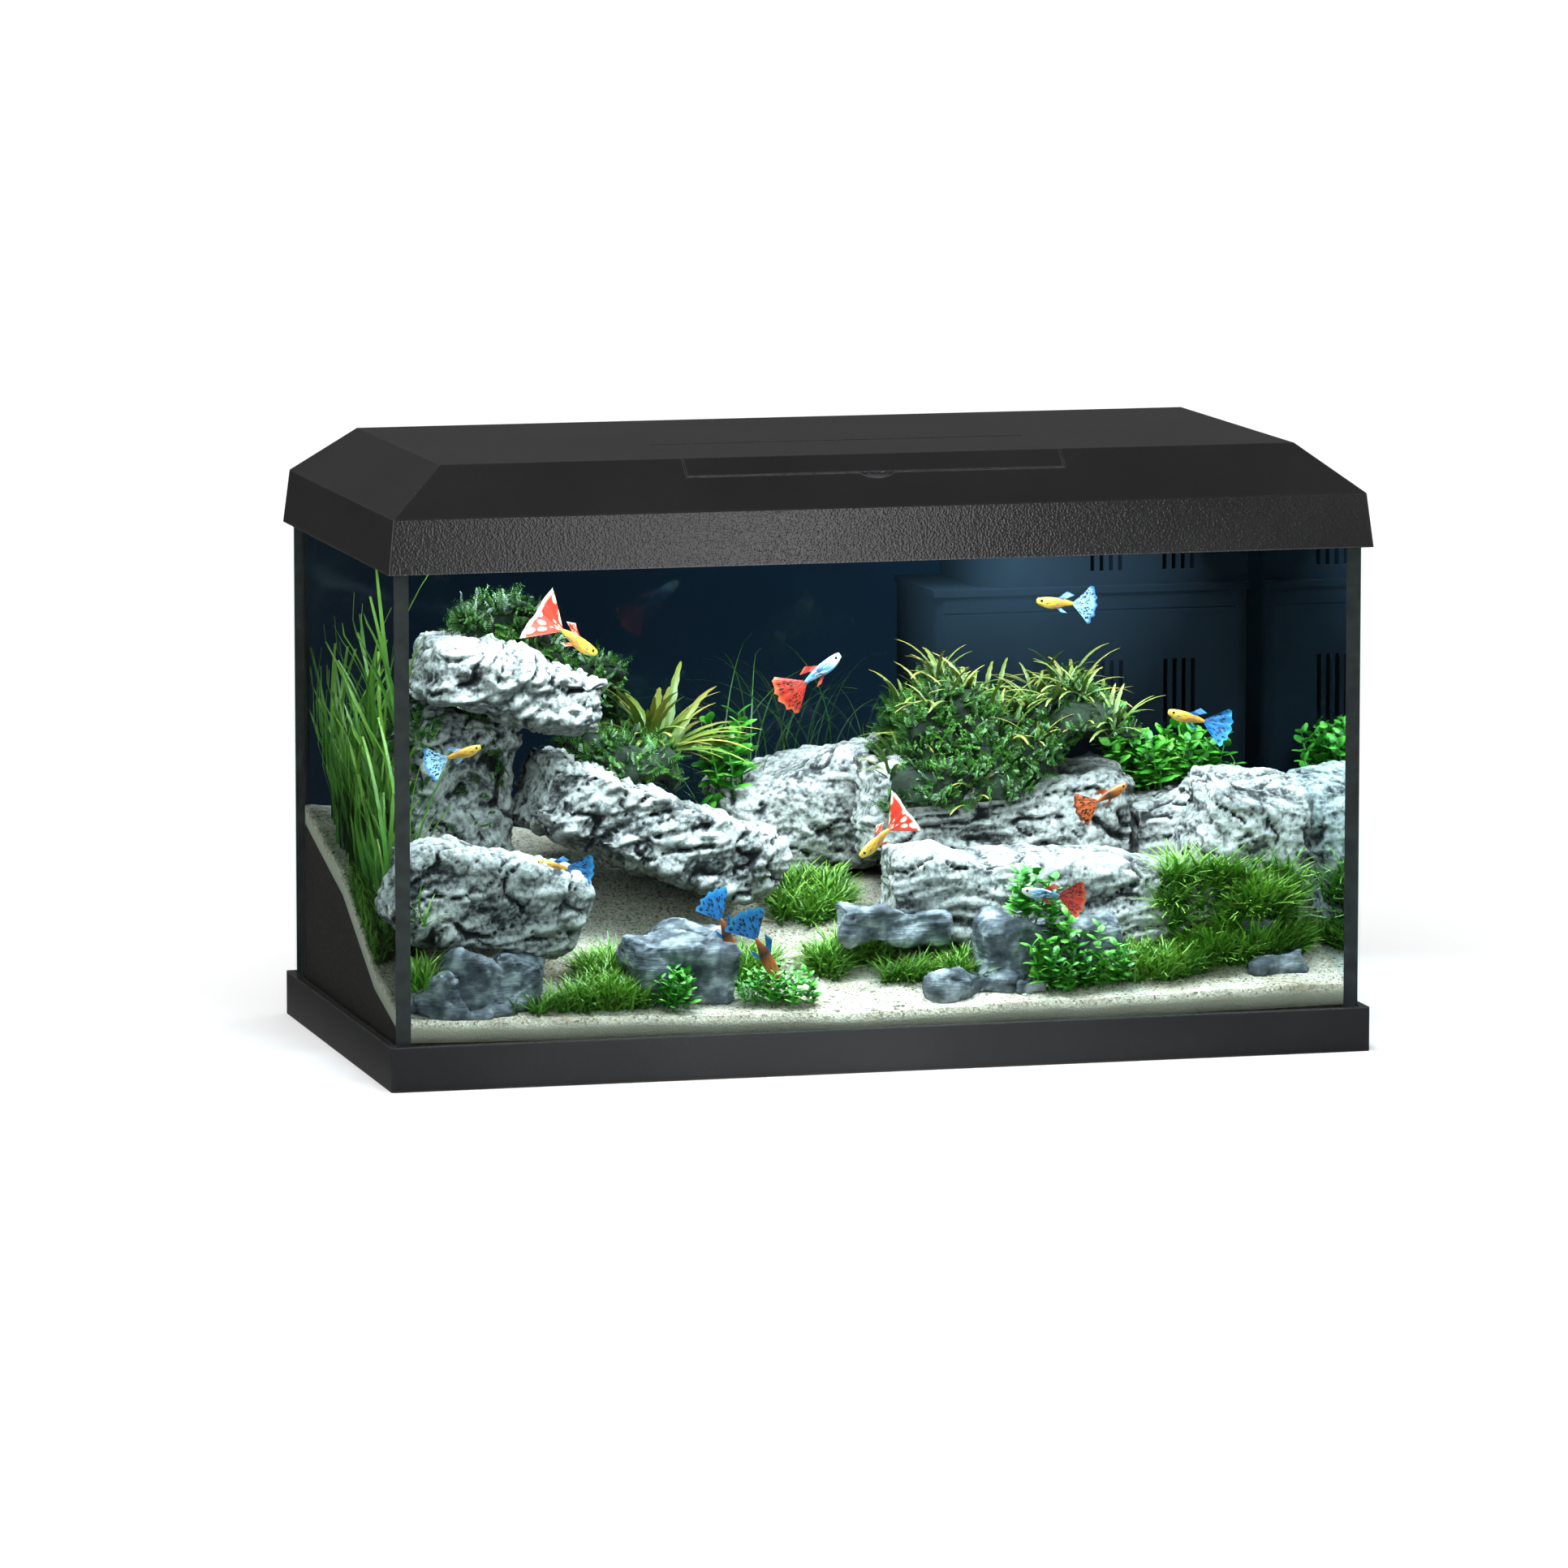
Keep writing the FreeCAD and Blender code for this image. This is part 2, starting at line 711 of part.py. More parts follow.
def lamp():
    """The lamp: an aluminium channel with its board, lens and ends, hung on two screwed brackets."""
    half = "lamp_wide / 2 - lamp_wall"
    channel = cut(
        "lamp_channel",
        centred("lamp_bar", "lamp_long", "lamp_wide", "lamp_low", "lamp_top"),
        centred("lamp_hollow", "lamp_long", f"2 * ({half})", "lamp_low", "lamp_top - lamp_wall"),
    )
    node(channel, "led_housing")
    inner_long = "lamp_long - 2 * cap_thick"
    board_top = "lamp_top - lamp_wall"
    board = centred("lamp_board", inner_long, "lamp_wide - 12", f"{board_top} - board_thick", board_top)
    chips = []
    count = 24
    for number in range(count):
        x = f"(lamp_long - 40) * ({number} - {(count - 1) / 2}) / {count}"
        low = f"{board_top} - board_thick - 0.8"
        chips.append(
            block(f"chip_{number:02d}", (f"{x} - 2.5", "-2.5", low), (f"{x} + 2.5", "2.5", f"{low} + 0.8"))
        )
    node(fuse("lamp_board_chips", board, *chips), "led_board")
    lens = centred("lamp_lens", inner_long, f"2 * ({half})", "lamp_low", "lamp_low + lens_thick")
    node(lens, "led_lens")
    ends = []
    brackets = []
    screws = []
    for side, hand in ((-1, "left"), (1, "right")):
        middle = f"{side} * (lamp_long - cap_thick) / 2"
        ends.append(
            block(
                "lamp_end_" + hand,
                (f"{middle} - cap_thick / 2", f"-({half})", "lamp_low"),
                (f"{middle} + cap_thick / 2", half, "lamp_top - lamp_wall"),
            )
        )
        strap = f"{side} * bracket_x"
        left, right = f"{strap} - bracket_wide / 2", f"{strap} + bracket_wide / 2"
        plate = block(
            "bracket_plate_" + hand,
            (left, "-screw_y - 5", "lamp_top"),
            (right, "screw_y + 5", "lamp_top + bracket_thick"),
        )
        saddle = block(
            "bracket_saddle_" + hand,
            (left, "-lamp_wide / 2 - 1.5", "lamp_low + 2"),
            (right, "lamp_wide / 2 + 1.5", "lamp_top + 1"),
        )
        channel_space = block(
            "bracket_space_" + hand,
            (left, "-lamp_wide / 2", "lamp_low"),
            (right, "lamp_wide / 2", "lamp_top"),
        )
        holes = []
        for back in (-1, 1):
            spot = (strap, f"{back} * screw_y")
            name = f"{hand}_{'back' if back > 0 else 'front'}"
            holes.append(rod("bracket_hole_" + name, "screw_radius", (*spot, "lamp_top"), "bracket_thick"))
            shank = rod("screw_shank_" + name, "screw_radius", (*spot, "lamp_top"), "bracket_thick + 7")
            head = rod("screw_head_" + name, "2 * screw_radius", (*spot, "lamp_top - 2"), "2")
            slot_low = (f"{strap} - 2.5", f"{back} * screw_y - 0.4", "lamp_top - 2")
            slot_high = (f"{strap} + 2.5", f"{back} * screw_y + 0.4", "lamp_top - 1.2")
            slot = block("screw_slot_" + name, slot_low, slot_high)
            screws.append(cut("screw_" + name, fuse("screw_blank_" + name, shank, head), slot))
        strap_body = fuse("bracket_blank_" + hand, plate, saddle)
        brackets.append(cut("bracket_" + hand, strap_body, channel_space, *holes))
    node(fuse("lamp_end_pair", *ends), "led_end_caps")
    node(fuse("bracket_pair", *brackets), "led_brackets")
    node(fuse("screw_set", *screws), "led_screws")
    gland = cut(
        "gland_finished",
        fuse(
            "gland_blank",
            gland_axis(rod("gland_neck", "gland_hole", ("0", "0", "0"), "7"), "-5"),
            gland_axis(rod("gland_flange", "gland_hole + 2", ("0", "0", "0"), "1.2"), "0"),
        ),
        gland_axis(rod("gland_bore", "3", ("0", "0", "0"), "14"), "-8"),
    )
    node(gland, "lamp_gland")


# ---------------------------------------------------------------- internal filter


def filter_housing():
    """A two-chamber box with a narrower open head, intake slots, a divider and ribs under the basket."""
    low_box = block(
        "box_low", ("box_left", "box_front", "box_floor"), ("box_right", "box_back", "box_shoulder")
    )
    head_box = block(
        "box_head", ("head_left", "head_front", "box_shoulder - 4"), ("box_right", "box_back", "box_top")
    )

    def front_corner(edge):
        return upright(edge) and edge.Vertexes[0].Point.y < size("head_front") + 0.1

    def left_front_corner(edge):
        return front_corner(edge) and edge.Vertexes[0].Point.x < size("head_left") + 0.1

    outer_low = rounded("box_low_round", low_box, "box_round", front_corner)
    outer_head = rounded("box_head_round", head_box, "head_round", left_front_corner)
    rim = block(
        "box_rim",
        ("box_left - 1.5", "box_front - 1.5", "box_shoulder - 4"),
        ("box_right", "box_back", "box_shoulder"),
    )
    low_hollow = block(
        "box_low_hollow",
        ("box_left + box_wall", "box_front + box_wall", "box_floor + box_wall"),
        ("box_right - box_wall", "box_back - box_wall", "box_shoulder - box_wall"),
    )
    head_hollow = block(
        "box_head_hollow",
        ("head_left + box_wall", "head_front + box_wall", "box_shoulder - 6"),
        ("box_right - box_wall", "box_back - box_wall", "box_top + 1"),
    )
    head_hollow_round = rounded(
        "box_head_hollow_round", head_hollow, "head_round_inside", left_front_corner_of_hollow
    )
    shell = cut("box_shell", fuse("box_outer", outer_low, outer_head, rim), low_hollow, head_hollow_round)
    divider = block(
        "box_divider",
        ("divider_left", "head_front + 1", "box_floor + 16"),
        ("divider_right", "box_back - 1", "box_top - 12"),
    )
    ribs = [
        block(
            f"basket_rib_{hand}",
            ("basket_left", f"{y} - 2", "box_floor + 1"),
            ("basket_right", f"{y} + 2", "basket_low"),
        )
        for hand, y in (("front", "basket_front + 12"), ("back", "basket_back - 12"))
    ]
    tools = [
        block(
            "box_joint_line",
            ("box_left - 1", "box_front - 1", "box_shoulder - 15.6"),
            ("box_right - 8", "box_front + 0.7", "box_shoulder - 14.4"),
        ),
        rod("riser_exit", "socket_radius", ("riser_x", "head_front - 2", "nozzle_z"), "box_wall + 4", "y"),
    ]
    for column, row, number in product(("left", "right"), ("low", "high"), range(4)):
        x = f"slot_{column} + {number} * slot_pitch"
        tools.append(
            block(
                f"slot_{column}_{row}_{letters(number)}",
                (x, "box_front - 2", f"slot_{row}_foot"),
                (f"{x} + slot_wide", "head_front + box_wall + 1", f"slot_{row}_head"),
            )
        )
    node(cut("box_finished", fuse("box_ribbed", shell, divider, *ribs), *tools), "filter_housing")


def left_front_corner_of_hollow(edge):
    """The upright edge at the head's rounded corner, on the inside."""
    spot = edge.Vertexes[0].Point
    near_front = spot.y < size("head_front") + size("box_wall") + 0.1
    return upright(edge) and near_front and spot.x < size("head_left") + size("box_wall") + 0.1


def filter_mounts():
    """Soft pads that hold the box to the back and right panes."""
    pads = []
    for side, level in product(("left", "right"), ("low", "high")):
        spot = (f"pad_{side}", "box_back", f"pad_{level}")
        reach = f"{INSIDE_Y} - box_back"
        pads.append(rod(f"back_pad_{side}_{level}", "pad_radius", spot, reach, "y"))
    for level in ("low", "high"):
        spot = ("box_right", "side_pad_y", f"pad_{level}")
        pads.append(rod(f"side_pad_{level}", "pad_radius", spot, f"{INSIDE_X} - box_right", "x"))
    node(fuse("pad_set", *pads), "filter_mounts")


def basket():
    """A lift-out basket with a bail handle and its four layers of media."""
    left, right = "basket_left", "basket_right"
    front, back = "basket_front", "basket_back"
    outer = block("basket_outer", (left, front, "basket_low"), (right, back, "basket_top"))
    inner = block(
        "basket_inner",
        (f"{left} + basket_wall", f"{front} + basket_wall", "basket_low + basket_wall"),
        (f"{right} - basket_wall", f"{back} - basket_wall", "basket_top + 1"),
    )
    holes = []
    for column, row in product(range(5), range(4)):
        x = f"{left} + 14 + {column} * floor_hole_pitch"
        y = f"{front} + 13 + {row} * floor_hole_pitch"
        hole = f"basket_hole_{letters(column)}{letters(row)}"
        holes.append(rod(hole, "floor_hole", (x, y, "basket_low - 1"), "basket_wall + 2"))
    middle = "(basket_front + basket_back) / 2"
    posts = [
        block(
            f"handle_post_{hand}",
            (x, f"{middle} - handle_half", "basket_top - 12"),
            (f"{x} + basket_wall", f"{middle} + handle_half", "handle_top"),
        )
        for hand, x in (("left", left), ("right", f"{right} - basket_wall"))
    ]
    bar = block(
        "handle_bar",
        (left, f"{middle} - handle_half", "handle_top - 3"),
        (right, f"{middle} + handle_half", "handle_top"),
    )
    node(fuse("basket_handled", cut("basket_shell", outer, inner, *holes), *posts, bar), "media_basket")
    low = "basket_low + basket_wall"
    inset = "(basket_wall + media_gap)"
    layers = {
        "foam_coarse": "coarse_tall",
        "foam_fine": "fine_tall",
        "carbon_pad": "carbon_tall",
        "poly_pad": "floss_tall",
    }
    for label, tall in layers.items():
        layer = block(
            label + "_layer",
            (f"{left} + {inset}", f"{front} + {inset}", low),
            (f"{right} - {inset}", f"{back} - {inset}", f"{low} + {tall}"),
        )
        node(layer, label)
        low = f"{low} + {tall}"


def pump():
    """The pump: a block with its rotor well, the rotor on a ceramic shaft, a cover and the riser."""
    well = ("pump_x", "pump_y")
    body = block(
        "pump_block",
        ("pump_x - pump_half", "pump_y - pump_half", "pump_low"),
        ("pump_x + pump_half", "pump_y + pump_half", "pump_top"),
    )
    channel = block(
        "pump_channel",
        ("riser_x - riser_bore", "riser_y - riser_bore", "volute_low + 2"),
        ("riser_x + riser_bore", "pump_y", "pump_top"),
    )
    pump_tools = [
        rod("pump_well", "well_radius", (*well, "well_low"), "pump_top - well_low"),
        rod("pump_volute", "volute_radius", (*well, "volute_low"), "pump_top - volute_low"),
        rod("shaft_seat", "shaft_radius", (*well, "well_low - 3"), "3"),
        channel,
    ]
    node(cut("pump_finished", body, *pump_tools), "pump_body")
    feet = []
    for right, back in product((-1, 1), repeat=2):
        floor = "box_floor + box_wall"
        spot = (f"pump_x + {right} * (pump_half - 6)", f"pump_y + {back} * (pump_half - 6)", floor)
        feet.append(rod(f"foot_{right + 1}{back + 1}", "foot_radius", spot, f"pump_low - ({floor})"))
    node(fuse("foot_set", *feet), "pump_feet")
    cover = block(
        "cover_plate",
        ("pump_x - pump_half", "pump_y - pump_half", "pump_top"),
        ("pump_x + pump_half", "pump_y + pump_half", "pump_top + cover_thick"),
    )
    cover_tools = [
        rod("cover_seat", "shaft_radius", (*well, "pump_top"), "cover_thick"),
        rod("cover_exit", "riser_radius", ("riser_x", "riser_y", "pump_top"), "cover_thick"),
    ]
    for number, angle in enumerate((90, 150, 210)):
        x = f"pump_x + inlet_circle * cos({angle})"
        y = f"pump_y + inlet_circle * sin({angle})"
        inlet = f"cover_inlet_{letters(number)}"
        cover_tools.append(rod(inlet, "inlet_radius", (x, y, "pump_top"), "cover_thick"))
    node(cut("cover_finished", cover, *cover_tools), "pump_cover")
    shaft = rod("shaft_rod", "shaft_radius", (*well, "well_low - 3"), "pump_top + cover_thick - well_low + 3")
    node(shaft, "pump_shaft")
    vanes = [
        rod("rotor_magnet", "magnet_radius", (*well, "well_low + 1.5"), "26"),
        rod("rotor_neck", "4", (*well, "well_low + 20"), "16"),
        rod("rotor_disc", "14", (*well, "volute_low + 2"), "1.6"),
    ]
    for name, long, deep in (("x", "13", "0.8"), ("y", "0.8", "13")):
        vanes.append(
            block(
                "vane_" + name,
                (f"pump_x - {long}", f"pump_y - {deep}", "volute_low + 2"),
                (f"pump_x + {long}", f"pump_y + {deep}", "pump_top - 2"),
            )
        )
    rotor_bore = rod("rotor_bore", "shaft_radius + rotor_play", (*well, "well_low"), "50")
    node(cut("rotor_finished", fuse("rotor_blank", *vanes), rotor_bore), "pump_rotor")


def riser_and_nozzle():
    """The riser carries water up to a socket in the head's wall, where the duckbill nozzle turns."""
    spot = ("riser_x", "riser_y")
    mouth = ("riser_x", "socket_front", "nozzle_z")
    socket_long = "riser_y - socket_front"
    riser = cut(
        "riser_finished",
        fuse(
            "riser_outer",
            rod("riser_tube", "riser_radius", (*spot, "pump_top"), "riser_top - pump_top"),
            rod("riser_socket", "socket_radius", mouth, socket_long, "y"),
        ),
        rod("riser_bore_tool", "riser_bore", (*spot, "pump_top"), "nozzle_z + riser_bore - pump_top"),
        rod("socket_hollow", "socket_bore", mouth, socket_long, "y"),
    )
    node(riser, "riser_pipe")
    tube = rod(
        "nozzle_tube",
        "socket_bore - nozzle_play",
        ("riser_x", "socket_front - 5", "nozzle_z"),
        "11",
        "y",
    )
    collar = rod("nozzle_collar", "riser_radius", ("riser_x", "socket_front - 6", "nozzle_z"), "5.7", "y")
    bill = doc.addObject("Part::Wedge", "nozzle_bill")
    bill_sizes = {
        "Xmin": "-7", "Xmax": "7", "Zmin": "-7", "Zmax": "7",
        "X2min": "-12", "X2max": "12", "Z2min": "-3", "Z2max": "3",
        "Ymin": "0", "Ymax": "20",
    }
    for prop, text in bill_sizes.items():
        bind(bill, prop, text)
    bill.Placement = Placement(Vector(), Rotation(Vector(0, 0, 1), 180))
    move(bill, ("riser_x", "socket_front - 5", "nozzle_z"))
    slot = block(
        "nozzle_slot",
        ("riser_x - 10", "socket_front - 26", "nozzle_z - 1.5"),
        ("riser_x + 10", "socket_front - 12", "nozzle_z + 1.5"),
    )
    throat = rod("nozzle_throat", "3.8", ("riser_x", "socket_front - 14", "nozzle_z"), "30", "y")
    node(cut("nozzle_finished", fuse("nozzle_blank", tube, collar, bill), slot, throat), "outlet_nozzle")


def heater():
    """The heater: a closed glass tube with its element, a cap with a spindle, and the dial on it."""
    spot = ("heater_x", "heater_y")
    inside = "(heater_radius - heater_wall)"
    tube = cut(
        "heater_glass",
        rod("heater_outer", "heater_radius", (*spot, "heater_low"), "heater_top - heater_low"),
        rod("heater_inner", inside, (*spot, "heater_low + heater_wall"), "heater_top - heater_low"),
    )
    node(tube, "heater_tube")
    core_long = "(heater_top - heater_low) * 0.8"
    core = rod("heater_element", f"{inside} - 1.5", (*spot, "heater_low + heater_wall"), core_long)
    node(core, "heater_core")
    cap = fuse(
        "cap_finished",
        rod("cap_body", "cap_radius", (*spot, "heater_top"), "cap_top - heater_top"),
        rod("cap_spindle", "spindle", (*spot, "cap_top"), "6"),
    )
    node(cap, "heater_cap")
    dial_low = "cap_top + 0.3"
    grips = []
    for number in range(12):
        x = f"heater_x + dial_radius * cos({number} * 30)"
        y = f"heater_y + dial_radius * sin({number} * 30)"
        grips.append(rod(f"dial_flute_{letters(number)}", "flute", (x, y, dial_low), "14"))
    dial = cut(
        "dial_finished",
        rod("dial_body", "dial_radius", (*spot, dial_low), "dial_top - cap_top - 0.3"),
        rod("dial_bore", "spindle + rotor_play", (*spot, "cap_top"), "6.5"),
        block(
            "dial_mark",
            ("heater_x - 0.5", "heater_y - dial_radius - 1", "dial_top - 0.8"),
            ("heater_x + 0.5", "heater_y - 2", "dial_top + 1"),
        ),
        *grips,
    )
    node(dial, "heater_dial")
    clips = []
    for level in ("low", "high"):
        z = f"clip_{level}"
        arm = block(
            f"clip_arm_{level}",
            ("heater_x - clip_arm_half", "heater_y + heater_radius - 1", z),
            ("heater_x + clip_arm_half", "box_back - box_wall", f"{z} + clip_tall"),
        )
        ring = rod(f"clip_ring_{level}", "heater_radius + clip_wall", (*spot, z), "clip_tall")
        bore = rod(f"clip_bore_{level}", "heater_radius", (*spot, z), "clip_tall")
        clips.append(cut(f"clip_ends_{level}", fuse(f"clip_blank_{level}", ring, arm), bore))
    node(fuse("clip_pair", *clips), "heater_clips")


# ---------------------------------------------------------------- ground and decor


def ground(drop):
    """The ground between the panes: flat facets through a left, a path and a right profile."""
    across = size("tank_long") / 2 - size("pane")
    along = size("tank_deep") / 2 - size("pane")
    floor = size("ledge_top") + size("pane")
    profiles = []
    for side, x in (("left", -across), ("path", size("path_x")), ("right", across)):
        heights = [size(f"{side}_{where}") - drop for where in ("front", "low", "mid", "back")]
        spots = (-along, size("low_y"), size("mid_y"), along)
        outline = [Vector(x, -along, floor), Vector(x, along, floor)]
        outline += [Vector(x, y, z) for y, z in zip(reversed(spots), reversed(heights))]
        profiles.append(outline)
    rings = [profiles[0], profiles[-1]]
    for left, right in zip(profiles, profiles[1:]):
        for near, far, over, across_from in zip(left, left[1:] + left[:1], right[1:] + right[:1], right):
            rings += [[near, far, over], [near, over, across_from]]
    faces = [Part.Face(Part.makePolygon(ring + ring[:1])) for ring in rings]
    return Part.Solid(Part.makeShell(faces)).removeSplitter()


def boulder(long, deep, thick, lean, seed):
    """A leaning block about the origin whose corners and edges are split off by planes."""
    chance = random.Random(seed)
    half = Vector(long / 2, deep / 2, thick / 2)
    shape = Part.makeBox(long, deep, thick, -half)
    reach = 4 * max(long, deep, thick)
    blades = []
    for signs in product((-1, 0, 1), repeat=3):
        kind = sum(map(abs, signs))
        if kind < 2:
            continue
        jitter = [chance.uniform(0.75, 1.3) for _ in signs]
        normal = Vector(*(sign * shake / side for sign, shake, side in zip(signs, jitter, half)))
        corner = Vector(*(sign * side for sign, side in zip(signs, half)))
        normal.normalize()
        share = chance.uniform(0.80, 0.90) if kind == 3 else chance.uniform(0.86, 0.96)
        blade = Part.makeBox(reach, reach, reach, Vector(-reach / 2, -reach / 2, 0))
        blade.Placement = Placement(normal * (corner.dot(normal) * share), Rotation(Vector(0, 0, 1), normal))
        blades.append(blade)
    for blade in blades:
        shape = shape.cut(blade)
    shape.rotate(Vector(), Vector(0, 1, 0), lean)
    return shape


def decor_room():
    """The space a decor piece may fill: off the glass and its corner beads, and clear of the filter."""
    across = size("tank_long") / 2 - size("pane") - 0.6
    along = size("tank_deep") / 2 - size("pane") - size("bead")
    room = Part.makeBox(2 * across, 2 * along, size("rim"), Vector(-across, -along, 0))
    corner = Vector(*(size(alias) - 3 for alias in ("box_left", "box_front", "box_floor")))
    return room.cut(Part.makeBox(across, along, size("rim"), corner))


def largest(shape):
    """The biggest solid of a cut, without the crumbs."""
    return max(shape.Solids, key=lambda solid: solid.Volume)


def decor_feature(name, shape):
    item = doc.addObject("Part::Feature", name + "_solid")
    item.Shape = shape
    item.Placement = shape.Placement
    return node(item, name)


def furnish(seam_set):
    """Lays soil, sand, rocks, stones and plants in turn, each trimmed to what already lies there."""
    doc.recompute()
    seams_shape = seam_set.Shape
    surface = ground(0)
    soil = ground(size("sand_thick"))
    decor_feature("soil_base", soil.cut(seams_shape))
    decor_feature("sand_bed", largest(surface.cut(soil).cut(seams_shape)))
    laid = [surface]
    room = decor_room()

    def trimmed(shape):
        kept = shape.common(room)
        near = [other for other in laid if other.BoundBox.intersect(kept.BoundBox)]
        return largest(kept.cut(near))

    seed = 11
    for name in ROCKS:
        x, y, z, *shape_sizes = row_of(name, 0, ROCK_FIELDS)
        seed += 1
        rock = boulder(*shape_sizes, seed)
        rock.translate(Vector(x, y, z))
        laid.append(trimmed(rock))
        decor_feature(name, laid[-1])
    for name, rows in STONES.items():
        group = []
        for number in range(len(rows)):
            x, y, z, *shape_sizes = row_of(name, number, ROCK_FIELDS)
            seed += 1
            stone = boulder(*shape_sizes, seed)
            stone.translate(Vector(x, y, z))
            laid.append(trimmed(stone))
            group.append(laid[-1])
        decor_feature(name, Part.makeCompound(group))
    for name, rows in PLANTS.items():
        group = []
        for number in range(len(rows)):
            x, y, low, top, wide, deep, spread = row_of(name, number, PLANT_FIELDS)
            clump = Part.makeWedge(
                -wide / 2, low, -deep / 2, -deep / 2 * spread, -wide / 2 * spread,
                wide / 2, top, deep / 2, deep / 2 * spread, wide / 2 * spread,
            )
            clump.rotate(Vector(), Vector(1, 0, 0), 90)
            clump.translate(Vector(x, y, 0))
            laid.append(trimmed(clump))
            group.append(laid[-1])
        decor_feature(name, Part.makeCompound(group))


# ---------------------------------------------------------------- build and export


def export():
    """Checks every object of the document and writes each sub-part to its STEP file."""
    doc.recompute()
    for item in doc.Objects:
        if "Invalid" in item.State or "Error" in item.State:
            raise RuntimeError(f"{item.Name} ({item.Label}) did not compute: {item.State}")
    os.makedirs("parts", exist_ok=True)
    for item in nodes:
        shape = item.Shape
        if shape.isNull() or not shape.isValid() or not shape.Solids:
            raise RuntimeError(f"{item.Label} has no valid solid")
        shape.exportStep(f"parts/{item.Label}.step")
        box = shape.BoundBox
        print(
            f"{item.Label:20s} {len(shape.Solids):3d} solids {shape.Volume / 1000:9.2f} cm3"
            f"  x {box.XMin:7.1f}..{box.XMax:7.1f}  y {box.YMin:7.1f}..{box.YMax:7.1f}"
            f"  z {box.ZMin:6.1f}..{box.ZMax:6.1f}"
        )
    print(len(nodes), "nodes")


base_frame()
tank()
seam_set = seams()
skin = hood_skin()
hood(skin)
flap(skin)
lamp()
filter_housing()
filter_mounts()
basket()
pump()
riser_and_nozzle()
heater()
furnish(seam_set)
export()
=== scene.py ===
# %% The frame
import math
import random

import bmesh
import bpy
import numpy as np
from mathutils import Matrix, Vector, noise
from mathutils.bvhtree import BVHTree


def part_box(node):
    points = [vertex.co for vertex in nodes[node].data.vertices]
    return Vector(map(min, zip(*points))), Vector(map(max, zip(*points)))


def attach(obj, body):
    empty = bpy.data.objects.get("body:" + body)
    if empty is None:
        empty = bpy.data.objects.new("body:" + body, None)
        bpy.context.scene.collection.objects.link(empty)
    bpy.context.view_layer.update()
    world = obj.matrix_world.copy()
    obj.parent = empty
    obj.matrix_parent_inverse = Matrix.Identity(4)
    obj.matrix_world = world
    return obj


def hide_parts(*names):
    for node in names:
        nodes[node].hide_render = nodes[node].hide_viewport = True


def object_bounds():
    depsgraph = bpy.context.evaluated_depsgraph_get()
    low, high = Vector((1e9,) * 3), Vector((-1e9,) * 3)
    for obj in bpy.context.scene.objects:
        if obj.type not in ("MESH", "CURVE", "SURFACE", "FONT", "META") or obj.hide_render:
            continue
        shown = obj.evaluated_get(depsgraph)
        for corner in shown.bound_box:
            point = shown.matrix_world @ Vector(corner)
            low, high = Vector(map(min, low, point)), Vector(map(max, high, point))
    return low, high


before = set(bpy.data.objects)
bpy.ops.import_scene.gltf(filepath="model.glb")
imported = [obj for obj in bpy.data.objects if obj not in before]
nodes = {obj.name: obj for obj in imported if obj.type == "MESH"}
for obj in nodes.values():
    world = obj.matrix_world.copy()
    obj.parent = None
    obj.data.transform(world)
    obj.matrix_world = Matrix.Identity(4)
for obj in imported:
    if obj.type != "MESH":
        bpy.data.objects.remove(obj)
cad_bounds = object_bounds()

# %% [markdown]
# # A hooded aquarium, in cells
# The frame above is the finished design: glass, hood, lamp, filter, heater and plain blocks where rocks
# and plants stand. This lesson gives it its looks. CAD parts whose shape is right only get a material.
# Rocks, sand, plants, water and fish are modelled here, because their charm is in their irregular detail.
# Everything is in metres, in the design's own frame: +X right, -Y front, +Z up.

MM = 0.001
scene = bpy.context.scene
low, high = cad_bounds
print("object", [round(side / MM) for side in high - low], "mm, nodes", len(nodes))

# %% [markdown]
# ## The camera
# A long lens from nearly six metres keeps the uprights parallel, as in a catalogue picture. The camera
# stands to the tank's left and a little above it. Its turn and tilt are set as angles, so they can be read.

# %% Camera
camera = bpy.data.objects.new("camera", bpy.data.cameras.new("camera"))
scene.collection.objects.link(camera)
scene.camera = camera
camera.location = (-1.4728, -5.5412, 0.9366)
camera_turn, camera_tilt = -14.654, 7.769
camera.rotation_euler = (math.radians(90 - camera_tilt), 0, math.radians(camera_turn))
camera.data.sensor_width = 36
camera.data.lens = 215.9
camera.data.clip_end = 100
print("camera", camera.location.length, "m from the origin")

# %% [markdown]
# ## Adding nodes
# A material is a small network. One function adds a node, sets its properties and fills its sockets
# with plain values or with links, so each material below reads from top to bottom. Colours are written
# as the hex values of a paint program and are turned to the linear values that light works in.

# %% Node helper


def linear(text):
    """A hex sRGB colour as linear RGBA."""
    channels = [int(text[start:start + 2], 16) / 255 for start in (1, 3, 5)]
    bent = [c / 12.92 if c <= 0.04045 else ((c + 0.055) / 1.055) ** 2.4 for c in channels]
    return (*bent, 1)


def add(tree, kind, inputs=None, stops=None, **settings):
    """Adds a node: settings are its properties, inputs fill its sockets, stops are a colour ramp's."""
    made = tree.nodes.new(kind)
    for name, value in settings.items():
        setattr(made, name, value)
    for name, value in (inputs or {}).items():
        socket = made.inputs[name]
        if isinstance(value, bpy.types.NodeSocket):
            tree.links.new(value, socket)
        else:
            socket.default_value = linear(value) if isinstance(value, str) else value
    if stops:
        elements = made.color_ramp.elements
        while len(elements) < len(stops):
            elements.new(0.5)
        for element, (place, colour) in zip(elements, stops):
            element.position = place
            element.color = linear(colour) if isinstance(colour, str) else (colour, colour, colour, 1)
    return made


